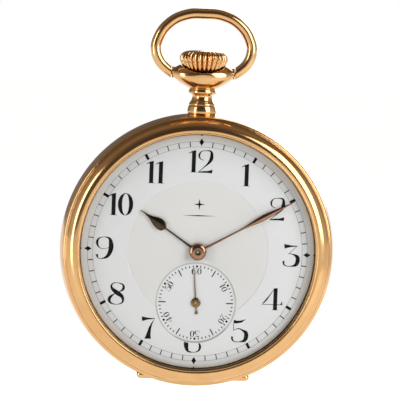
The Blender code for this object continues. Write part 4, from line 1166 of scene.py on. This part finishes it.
def striped_nickel(name, width=1.9):
    """Nickel silver with broad stripes, each ground with fine curved lines; its colour runs darker to lighter
    across each stripe, a painted sheen.
    """
    made, tree, shader = new_paint(name, {"Metallic": 1.0})
    where = object_place(tree)
    turned_place = node(tree, "ShaderNodeMapping", {}, {
        "Vector": where, "Rotation": (0, math.radians(25), 0),
    })
    across = node(tree, "ShaderNodeSeparateXYZ", {}, {0: turned_place}, 0)
    along = node(tree, "ShaderNodeSeparateXYZ", {}, {0: turned_place}, 2)
    scaled = across * (1 / width)
    share = scaled.maths("FRACT", scaled, 0.0)
    bow_line = along + share * share * 1.2
    lines = node(tree, "ShaderNodeTexNoise", {"noise_dimensions": "1D"}, {"W": bow_line * 9.0, "Detail": 3.0})
    bump = node(tree, "ShaderNodeBump", {}, {
        "Strength": 0.5, "Distance": 0.05 * MM, "Height": share * 0.8 + lines * 0.25,
    })
    # The base colour runs from darker to lighter across each stripe: a painted sheen, over real relief and
    # roughness.
    feed(tree, shader, {
        "Base Color": blend_colours(tree, share, (0.56, 0.54, 0.50, 1), (0.74, 0.72, 0.68, 1)),
        "Roughness": 0.16 + lines * 0.18 + share * 0.08,
        "Normal": bump,
    })
    return made


def pearled_nickel(name, spacing=1.3):
    """Nickel silver with overlapping round spots ground in rows; each spot is painted lighter in its middle
    and darker at its edge, a painted sheen.
    """
    made, tree, shader = new_paint(name, {"Metallic": 1.0})
    where = node(tree, "ShaderNodeMapping", {}, {"Vector": object_place(tree), "Scale": (1, 0, 1)})
    spots = node(tree, "ShaderNodeTexVoronoi", {}, {
        "Vector": where, "Scale": 1 / spacing, "Randomness": 0.15,
    }, 0)
    rings_in_spots = node(tree, "ShaderNodeTexNoise", {"noise_dimensions": "1D"}, {"W": spots * 14.0})
    bump = node(tree, "ShaderNodeBump", {}, {
        "Strength": 0.5, "Distance": 0.05 * MM, "Height": spots * 0.7 + rings_in_spots * 0.3,
    })
    # The base colour is lighter in the middle of each spot and darker towards its edge: a painted sheen, over
    # real relief and roughness.
    feed(tree, shader, {
        "Base Color": blend_colours(tree, spots, (0.72, 0.70, 0.66, 1), (0.52, 0.50, 0.47, 1)),
        "Roughness": 0.22 + rings_in_spots * 0.2,
        "Normal": bump,
    })
    return made


striped = striped_nickel("striped_nickel")
pearled = pearled_nickel("pearled_nickel")
stem_slot = box_outline(-2.4, 2.4, 10.9, 19.3)
plate_holes = [ring(0.3, c, 16) for c in (THIRD, FOURTH, ESCAPE, PALLET, BALANCE)]
plate_holes += [ring(0.75, (0, 0), ROUND), ring(0.75, BARREL, ROUND), stem_slot]
plate_holes += [ring(0.6, c, 24) for c in CASE_SCREWS]
plate_posts = [
    ring(0.25, pivots[body], 16) for body in ("minute_wheel", "setting_wheel", "setting_lever", "yoke")
]
mainplate = stack("main_plate", [
    (PLATE_BACK, PLATE_FRONT, [ring(21.4), *plate_holes]),
    (PLATE_FRONT, 8.45, plate_posts),
])
settle(soften(mainplate, 0.06), pearled, "case", ["mainplate"])


def bridge(name, node_name, outline, holes, feet, sites, extra=()):
    """One bridge: its top, the feet under it, and the holes for its screws."""
    through = [ring(0.55, site, 24) for site in sites]
    made = stack(name, [
        *extra,
        (BRIDGE_BACK, BRIDGE_FRONT, [outline, *holes, *through]),
        (BRIDGE_FRONT, FOOT_FRONT, [*feet, *through]),
    ])
    return settle(soften(made, 0.12), striped, "case", [node_name])


bridge(
    "barrel_bridge_plate", "barrel_bridge",
    arc(20.5, 2, 116) + eased([
        (-7.4, 9.0), (-4.4, 1.0), (-2.8, -1.8), (1.5, -2.6), (9.0, -1.2),
    ], 1.2, steps=5),
    [
        ring(0.75, BARREL, ROUND), ring(0.4, (0, 0), 24), ring(0.55, CROWN_WHEEL, 24),
        box_outline(-2.4, 2.4, 13.9, 16.5),
    ],
    [arc(20.3, 5, 66) + arc(17.0, 66, 5), arc(20.3, 98, 114) + arc(17.5, 114, 98)],
    BARREL_BRIDGE_SCREWS, [(2.75, BRIDGE_BACK, [ring(0.25, CLICK_PIVOT, 16)])],
)
bridge(
    "train_bridge_plate", "train_bridge",
    arc(20.5, -117, -13) + eased(
        [(14.0, -4.2), (1.5, -4.0), (-1.6, -6.2), (-5.2, -9.9), (-6.9, -13.6)], 1.5, steps=5,
    ),
    [ring(0.6, c, ROUND) for c in (THIRD, FOURTH, ESCAPE)],
    [arc(20.3, -113, -17) + arc(16.7, -17, -113)],
    TRAIN_BRIDGE_SCREWS,
)
bridge(
    "balance_cock_plate", "balance_cock",
    capsule((-13.6, 8.2), 4.2, BALANCE, 2.6), [ring(0.9, BALANCE, ROUND)],
    [ring(3.2, (-13.9, 8.7), ROUND)], [COCK_SCREW],
)
pallet_cock = stack("pallet_cock_plate", [
    (5.75, 6.05, [capsule((-9.6, -13.6), 1.3, PALLET, 0.9), ring(0.25, PALLET, 16)]),
    (6.05, FOOT_FRONT, [ring(1.0, (-9.6, -13.6), 24)]),
])
settle(soften(pallet_cock, 0.05), striped, "case", ["pallet_cock"])

# ---------------------------------------------------------------- screws
# Turned steel screws with flat polished heads and a milled slot, blued over a flame. They
# stand with their slots at any angle, as they came to rest when they were driven home.
blued = polished_metal("flame_blued_steel", (0.035, 0.08, 0.34, 1), (0.015, 0.03, 0.16, 1), 0.16, 0.02)


def slotted_screw(name, head_r, head_back, head_front, shank_r, shank_front):
    """A screw about the origin, its head towards the back of the watch."""
    made = shape(name, turned(eased([
        (0, head_back), (head_r, head_back, 0.12), (head_r, head_front, 0.04), (shank_r, head_front, 0),
        (shank_r, shank_front, 0.08), (0, shank_front),
    ], 0, steps=3), "Y", (0, 0, 0), 32))
    slot_wide = head_r * 0.17
    return combine(made, [
        block((-head_r - 1, head_r + 1), (-slot_wide, slot_wide), (head_back - 1, head_back + 0.27)),
    ], "DIFFERENCE")


def scatter_tree():
    """Geometry nodes: a shape on each point of the carrier, each turned by its own angle."""
    tree = bpy.data.node_groups.new("screws_at_sites", "GeometryNodeTree")
    face = tree.interface
    face.new_socket("Geometry", in_out="INPUT", socket_type="NodeSocketGeometry")
    face.new_socket("Shape", in_out="INPUT", socket_type="NodeSocketObject")
    face.new_socket("Seed", in_out="INPUT", socket_type="NodeSocketInt")
    face.new_socket("Finish", in_out="INPUT", socket_type="NodeSocketMaterial")
    face.new_socket("Geometry", in_out="OUTPUT", socket_type="NodeSocketGeometry")
    given = tree.nodes.new("NodeGroupInput")
    wanted = Value(tree, given.outputs["Shape"])
    item = node(tree, "GeometryNodeObjectInfo", {}, {"Object": wanted}, "Geometry")
    angle = node(tree, "FunctionNodeRandomValue", {"data_type": "FLOAT"}, {
        "Seed": Value(tree, given.outputs["Seed"]), 2: 0.0, 3: math.tau,
    }, 1)
    rotation = node(tree, "ShaderNodeCombineXYZ", {}, {"Y": angle})
    placed = node(tree, "GeometryNodeInstanceOnPoints", {}, {
        "Points": Value(tree, given.outputs["Geometry"]), "Instance": item, "Rotation": rotation,
    })
    real = node(tree, "GeometryNodeRealizeInstances", {}, {"Geometry": placed})
    made = node(tree, "GeometryNodeSetMaterial", {}, {
        "Geometry": real, "Material": Value(tree, given.outputs["Finish"]),
    })
    end = tree.nodes.new("NodeGroupOutput")
    tree.links.new(made.socket, end.inputs["Geometry"])
    return tree


screws_tree = scatter_tree()


def screws_at(name, sites, screw, seed, body, nodes):
    """Drive a screw home at each site, and take the pattern screw away."""
    carrier = bpy.data.meshes.new(name)
    carrier.from_pydata([(x * MM, 0, z * MM) for x, z in sites], [], [])
    holder = bpy.data.objects.new(name, carrier)
    bpy.context.collection.objects.link(holder)
    made = grown(name, holder, screws_tree, {"Shape": screw, "Seed": seed, "Finish": blued})
    bpy.data.objects.remove(screw, do_unlink=True)
    return settle(made, blued, body, nodes)


screws_at(
    "bridge_screws", [*BARREL_BRIDGE_SCREWS, *TRAIN_BRIDGE_SCREWS, COCK_SCREW],
    slotted_screw("pattern", 1.0, 2.95, 3.35, 0.45, 6.5), 3, "case",
    ["barrel_bridge_screw_a", "barrel_bridge_screw_b", "train_bridge_screw_a", "train_bridge_screw_b",
     "balance_cock_screw"],
)
screws_at(
    "case_screws", CASE_SCREWS, slotted_screw("pattern", 1.15, 5.7, 6.05, 0.5, 7.6), 5, "case",
    ["case_screw_left", "case_screw_right"],
)
screws_at(
    "crown_wheel_fixing", [CROWN_WHEEL], slotted_screw("pattern", 1.6, 2.3, 2.7, 0.5, 4.2), 8, "case",
    ["crown_wheel_screw"],
)
screws_at(
    "ratchet_fixing", [BARREL], slotted_screw("pattern", 1.5, 2.3, 2.7, 0.25, 3.4), 11, "ratchet",
    ["ratchet_screw"],
)

# ---------------------------------------------------------------- winding wheels and click
# Hardened steel wheels on the barrel bridge, with snailed faces, and the click that holds the
# ratchet wheel against the mainspring.
def gear(centre, tip, root, teeth):
    """The outline of a toothed wheel, four points to a tooth."""
    points = []
    for k in range(teeth):
        for share, radius in ((0.0, root), (0.24, root), (0.4, tip), (0.6, tip), (0.76, root)):
            a = math.tau * (k + share - 0.5) / teeth
            points.append((centre[0] + radius * math.cos(a), centre[1] + radius * math.sin(a)))
    return points


def snailed_steel(name, centre):
    return turned_grain(name, (0.70, 0.70, 0.71, 1), (0.50, 0.50, 0.52, 1), 0.2, centre, 7.0, 0.3)


crown_wheel = stack("crown_wheel_disc", [
    (2.75, 3.3, [gear(CROWN_WHEEL, 3.66, 3.22, 30), ring(0.6, CROWN_WHEEL, 24)]),
])
settle(soften(crown_wheel, 0.04, 1), snailed_steel("snailed_crown_wheel", CROWN_WHEEL), "crown_wheel",
       ["crown_wheel"])
ratchet_wheel = stack("ratchet_wheel_disc", [
    (2.75, 3.3, [gear(BARREL, 5.98, 5.52, 49), ring(0.6, BARREL, 24)]),
])
settle(soften(ratchet_wheel, 0.04, 1), snailed_steel("snailed_ratchet_wheel", BARREL), "ratchet",
       ["ratchet_wheel"])
BEAK_WAY = math.radians(50)
beak = (BARREL[0] + 6.35 * math.cos(BEAK_WAY), BARREL[1] + 6.35 * math.sin(BEAK_WAY))
click = stack("click_pawl", [
    (2.85, 3.3, [capsule(CLICK_PIVOT, 0.8, beak, 0.25), ring(0.3, CLICK_PIVOT, 16)]),
])
settle(soften(click, 0.06), bright_steel, "click", ["click"])
spring_band = arc(7.95, -24, 18, BARREL) + arc(7.75, 18, -24, BARREL)
click_spring = stack("click_spring_band", [(2.85, 3.3, [spring_band])])
settle(soften(click_spring, 0.03), bright_steel, "case", ["click_spring"])

# ---------------------------------------------------------------- jewels
# Turned and polished rubies with an oil sink round each pivot hole, rubbed into the bridge,
# and the domed end stone of the balance, held in its ring.
ruby, ruby_tree, ruby_shader = new_paint("watch_ruby", {
    "Metallic": 0.0, "Coat Weight": 1.0, "Coat Roughness": 0.02, "Specular IOR Level": 0.8,
})
ruby_cloud = noise(ruby_tree, object_place(ruby_tree), 3.0, 3.0)
feed(ruby_tree, ruby_shader, {
    "Base Color": blend_colours(ruby_tree, ruby_cloud, (0.42, 0.01, 0.045, 1), (0.75, 0.06, 0.14, 1)),
    "Roughness": 0.05 + ruby_cloud * 0.08,
})
for name, site in (("third_jewel", THIRD), ("fourth_jewel", FOURTH), ("escape_jewel", ESCAPE)):
    stone = shape(name + "_stone", turned(eased([
        (0.2, 3.72), (0.42, 3.45, 0.1), (0.56, 3.42, 0.04), (0.56, 4.3, 0.04), (0.2, 4.3),
    ], 0.02, closed=True), "Y", (site[0], 0, site[1]), 32))
    settle(stone, ruby, "case", [name])
end_stone = shape("balance_end_stone_cap", turned(
    eased([(0, 3.0), (0.5, 3.05, 0.3), (0.8, 3.3, 0.1), (0.8, 3.6, 0.05), (0, 3.6)], 0),
    "Y", (BALANCE[0], 0, BALANCE[1]), 48,
))
settle(end_stone, ruby, "case", ["balance_end_stone"])

# ---------------------------------------------------------------- barrel and mainspring
# A gilt brass drum with teeth round its front edge and a snapped-in lid. The blued steel
# mainspring is wound in it, between its wall and the polished arbor.
gilt = turned_grain("gilt_brass", (0.82, 0.60, 0.27, 1), (0.66, 0.44, 0.17, 1), 0.26, (0.0, 0.0), 5.0, 0.15)
drum, cavity = ring(7.2, BARREL, 128), ring(6.8, BARREL, 96)
arbor_hole = ring(0.75, BARREL, 32)
barrel = stack("barrel_drum", [
    (4.95, 5.95, [drum, cavity]),
    (5.95, 6.35, [gear(BARREL, 7.63, 7.3, 80), cavity]),
    (6.35, 6.6, [ring(7.2, BARREL, 96), arbor_hole]),
])
settle(barrel, gilt, "barrel", ["barrel"])
lid = stack("barrel_lid_disc", [(4.98, 5.2, [ring(6.7, BARREL, 96), arbor_hole])])
settle(soften(lid, 0.04), gilt, "barrel", ["barrel_lid"])
arbor = shape("barrel_arbor_shaft", turned(eased([
    (0, 3.6), (0.32, 3.6), (0.32, 2.78), (0.55, 2.78, 0.04), (0.55, 5.28), (1.5, 5.28, 0.05),
    (1.5, 6.28, 0.05), (0.55, 6.28), (0.55, 7.9, 0.08), (0, 7.9),
], 0), "Y", (BARREL[0], 0, BARREL[1]), 32))
settle(arbor, bright_steel, "ratchet", ["barrel_arbor"])


def coil_tree():
    """Geometry nodes: a flat spiral of strip, wound about the Y axis at a centre."""
    tree = bpy.data.node_groups.new("wound_strip", "GeometryNodeTree")
    face = tree.interface
    face.new_socket("Geometry", in_out="INPUT", socket_type="NodeSocketGeometry")
    for name in ("Turns", "Inner radius", "Outer radius", "Thickness", "Width"):
        face.new_socket(name, in_out="INPUT", socket_type="NodeSocketFloat")
    face.new_socket("Centre", in_out="INPUT", socket_type="NodeSocketVector")
    face.new_socket("Finish", in_out="INPUT", socket_type="NodeSocketMaterial")
    face.new_socket("Geometry", in_out="OUTPUT", socket_type="NodeSocketGeometry")
    given = tree.nodes.new("NodeGroupInput")
    line = node(tree, "GeometryNodeCurveSpiral", {}, {
        "Resolution": 36, "Rotations": Value(tree, given.outputs["Turns"]),
        "Start Radius": Value(tree, given.outputs["Inner radius"]),
        "End Radius": Value(tree, given.outputs["Outer radius"]), "Height": 0.0,
    })
    strip = node(tree, "GeometryNodeCurvePrimitiveQuadrilateral", {}, {
        "Width": Value(tree, given.outputs["Thickness"]), "Height": Value(tree, given.outputs["Width"]),
    })
    wound = node(tree, "GeometryNodeCurveToMesh", {}, {
        "Curve": line, "Profile Curve": strip, "Fill Caps": True,
    })
    stood = node(tree, "GeometryNodeTransform", {}, {
        "Geometry": wound, "Translation": Value(tree, given.outputs["Centre"]),
        "Rotation": (math.pi / 2, 0, 0),
    })
    real = node(tree, "GeometryNodeRealizeInstances", {}, {"Geometry": stood})
    made = node(tree, "GeometryNodeSetMaterial", {}, {
        "Geometry": real, "Material": Value(tree, given.outputs["Finish"]),
    })
    end = tree.nodes.new("NodeGroupOutput")
    tree.links.new(made.socket, end.inputs["Geometry"])
    return tree


spring_tree = coil_tree()


def wound_spring(name, node_name, body, centre, radii, turns, thickness, depths):
    """A spring of flat strip between two radii, in a range of depths."""
    carrier = bpy.data.objects.new(name, bpy.data.meshes.new(name))
    bpy.context.collection.objects.link(carrier)
    made = grown(name, carrier, spring_tree, {
        "Turns": float(turns), "Inner radius": radii[0] * MM, "Outer radius": radii[1] * MM,
        "Thickness": thickness * MM, "Width": (depths[1] - depths[0]) * MM,
        "Centre": (centre[0] * MM, -sum(depths) / 2 * MM, centre[1] * MM), "Finish": blued,
    })
    return settle(made, blued, body, [node_name])


wound_spring("mainspring_strip", "mainspring", "barrel", BARREL, (1.8, 6.5), 9, 0.16, (5.3, 6.25))

# ---------------------------------------------------------------- train wheels
# Gilt wheels with crossed-out arms on turned gilt shafts, which carry the steel leaves of
# their pinions. The escape wheel is polished steel with pointed teeth.
def crossings(centre, inner, outer, arms, arm_half):
    """The openings between the arms of a wheel."""
    loops = []
    for k in range(arms):
        start, end = 360.0 * k / arms, 360.0 * (k + 1) / arms
        a_out, a_in = (math.degrees(math.asin(arm_half / r)) for r in (outer, inner))
        far = arc(outer, start + a_out, end - a_out, centre, 5)
        near = arc(inner, end - a_in, start + a_in, centre, 12)
        loops.append(far + near)
    return loops


def train_wheel(name, node_name, body, centre, disc, shaft):
    """A gilt wheel: the crossed-out disc joined to its turned shaft, without the leaves."""
    low, high, teeth, tip, root, hub, rim, arms, arm_half = disc
    openings = crossings(centre, hub, rim, arms, arm_half)
    made = stack(name, [(low, high, [gear(centre, tip, root, teeth), *openings])])
    combine(made, [turned(eased(shaft, 0.03, steps=2), "Y", (centre[0], 0, centre[1]), 24)], "UNION")
    return settle(made, gilt, body, [node_name])


def leaves(name, body, centre, tip, root, teeth, depths):
    """The leaves of a pinion, a steel gear on the wheel's shaft."""
    made = stack(name, [(*depths, [gear(centre, tip, root, teeth)])])
    return settle(made, bright_steel, body)


train_wheel("centre_wheel_disc", "centre_wheel", "centre_wheel", (0.0, 0.0),
            (4.55, 4.8, 80, 7.15, 6.8, 1.6, 6.2, 5, 0.32),
            [(0, 3.5), (0.3, 3.5), (0.3, 4.4), (0.55, 4.5), (0.55, 6.4),
             (0.6, 6.45), (0.6, 7.95), (0.3, 7.95), (0.3, 10.1), (0, 10.1)])
leaves("centre_pinion", "centre_wheel", (0.0, 0.0), 0.92, 0.6, 10, (5.9, 6.4))
train_wheel("third_wheel_disc", "third_wheel", "third_wheel", THIRD,
            (5.25, 5.45, 75, 4.46, 4.16, 1.2, 3.7, 5, 0.22),
            [(0, 3.6), (0.15, 3.6), (0.15, 4.4), (0.4, 4.5), (0.4, 6.6), (0.18, 6.65), (0.18, 7.8), (0, 7.8)])
leaves("third_pinion", "third_wheel", THIRD, 0.85, 0.6, 10, (4.5, 5.0))
train_wheel("fourth_wheel_disc", "fourth_wheel", "seconds", FOURTH,
            (5.95, 6.12, 70, 4.51, 4.22, 1.2, 3.8, 5, 0.22),
            [(0, 3.6), (0.15, 3.6), (0.15, 5.1), (0.3, 5.15),
             (0.3, 6.6), (0.18, 6.65), (0.18, 9.45, 0.1), (0, 9.47)])
leaves("fourth_pinion", "seconds", FOURTH, 0.56, 0.38, 10, (5.15, 5.6))
escape_points = []
for k in range(15):
    for share, radius in ((0.0, 3.1), (0.08, 3.08), (0.3, 2.45), (0.7, 2.3), (0.95, 2.75)):
        a = math.tau * (k + share) / 15
        escape_points.append((ESCAPE[0] + radius * math.cos(a), ESCAPE[1] + radius * math.sin(a)))
escape = stack("escape_wheel_disc", [
    (6.18, 6.35, [escape_points, *crossings(ESCAPE, 0.8, 2.0, 5, 0.16)]),
])
combine(escape, [turned(eased([
    (0, 3.6), (0.13, 3.6), (0.13, 4.5), (0.22, 4.6), (0.22, 6.5), (0.15, 6.55), (0.15, 7.8), (0, 7.8),
], 0.02, steps=2), "Y", (ESCAPE[0], 0, ESCAPE[1]), 24)], "UNION")
settle(escape, bright_steel, "escape_wheel", ["escape_wheel"])

# ---------------------------------------------------------------- balance and pallets
# The balance is an uncut gilt rim with poising screws round it, beside a blued hairspring. The
# pallet fork is steel, and the regulator turns round the end stone.
balance_rim = stack("balance_ring", [
    (4.95, 5.15, [ring(7.55, BALANCE, 128), *crossings(BALANCE, 0.9, 6.9, 2, 0.4)]),
    (5.15, 5.65, [ring(7.5, BALANCE, 128), ring(7.0, BALANCE, 128)]),
])
combine(balance_rim, [turned(eased([
    (0, 4.5), (0.35, 4.5), (0.35, 4.95), (0.6, 5.0), (0.6, 5.6), (0.45, 5.65), (0.45, 5.85), (1.1, 5.85),
    (1.1, 6.05), (0.18, 6.05), (0.18, 7.6), (0, 7.6),
], 0.02, steps=2), "Y", (BALANCE[0], 0, BALANCE[1]), 32)], "UNION")
settle(balance_rim, gilt, "balance", ["balance_wheel"])
rim_screw = turned(eased([
    (0, 7.35), (0.14, 7.35), (0.14, 7.5), (0.24, 7.52, 0.03), (0.24, 7.72, 0.05), (0, 7.75),
], 0, steps=2), "Z", (0, -5.3, 0), 12)
poising_screws = around("poising_screws", rim_screw, 16, gilt, BALANCE, math.tau / 32)
settle(poising_screws, gilt, "balance")
wound_spring("hairspring_strip", "hairspring", "case", BALANCE, (0.7, 3.2), 9, 0.07, (4.6, 4.8))
fork_way = math.atan2(BALANCE[1] - PALLET[1], BALANCE[0] - PALLET[0])


def on_fork(along, across):
    c, s = math.cos(fork_way), math.sin(fork_way)
    return (PALLET[0] + along * c - across * s, PALLET[1] + along * s + across * c)


fork_half = [
    (5.45, 0.3), (5.55, 0.7), (4.7, 0.45), (4.2, 0.16), (0.6, 0.3), (0.35, 0.9), (-0.45, 1.95), (-0.8, 1.75),
    (-0.3, 0.7),
]
fork_outline = [on_fork(4.9, 0.0)] + [on_fork(a, c) for a, c in fork_half]
fork_outline += [on_fork(a, -c) for a, c in reversed(fork_half)]
fork = stack("pallet_fork_lever", [(6.15, 6.35, [eased(fork_outline, 0.25, closed=True, steps=3)])])
combine(fork, [rod((PALLET[0], -5.8, PALLET[1]), (PALLET[0], -7.8, PALLET[1]), 0.15, 16)], "UNION")
settle(fork, bright_steel, "pallet_fork", ["pallet_fork"])
regulator_tip = (BALANCE[0] + 4.9 * math.cos(math.radians(40)), BALANCE[1] + 4.9 * math.sin(math.radians(40)))
regulator = stack("regulator_arm", [
    (3.05, 3.3, [arc(1.6, 56, 384, BALANCE, 6) + [regulator_tip], ring(1.0, BALANCE, ROUND)]),
])
settle(soften(regulator, 0.05), bright_steel, "regulator", ["regulator"])

# ---------------------------------------------------------------- hub of the hands
# The cannon pinion is a pipe of darkened steel: the minute hand is pushed on its rounded end.
dark_steel = polished_metal("darkened_steel", (0.16, 0.17, 0.16, 1), (0.09, 0.10, 0.09, 1), 0.16)
cannon = shape("cannon_pipe", turned(eased([
    (0.36, 8.05), (0.9, 8.05), (0.9, 8.3), (0.57, 8.3), (0.57, 10.75, 0.12), (0.36, 10.7, 0.04),
], 0.02, closed=True, steps=3), "Y", (0, 0, 0), 48))
settle(cannon, dark_steel, "minutes", ["cannon_pinion"])

# ---------------------------------------------------------------- parts kept from the frame
# Keyless work and motion work, between the dial and the plate: plain steel and gilt pieces
# whose solids are right as they are, and which only take their finish here.
for name, finish in (
    ("winding_pinion", bright_steel), ("sliding_pinion", bright_steel), ("setting_lever", bright_steel),
    ("yoke", bright_steel), ("setting_wheel", bright_steel), ("minute_wheel", gilt), ("hour_wheel", gilt),
):
    mesh = frame["nodes"][name].data
    mesh.materials.clear()
    mesh.materials.append(finish)
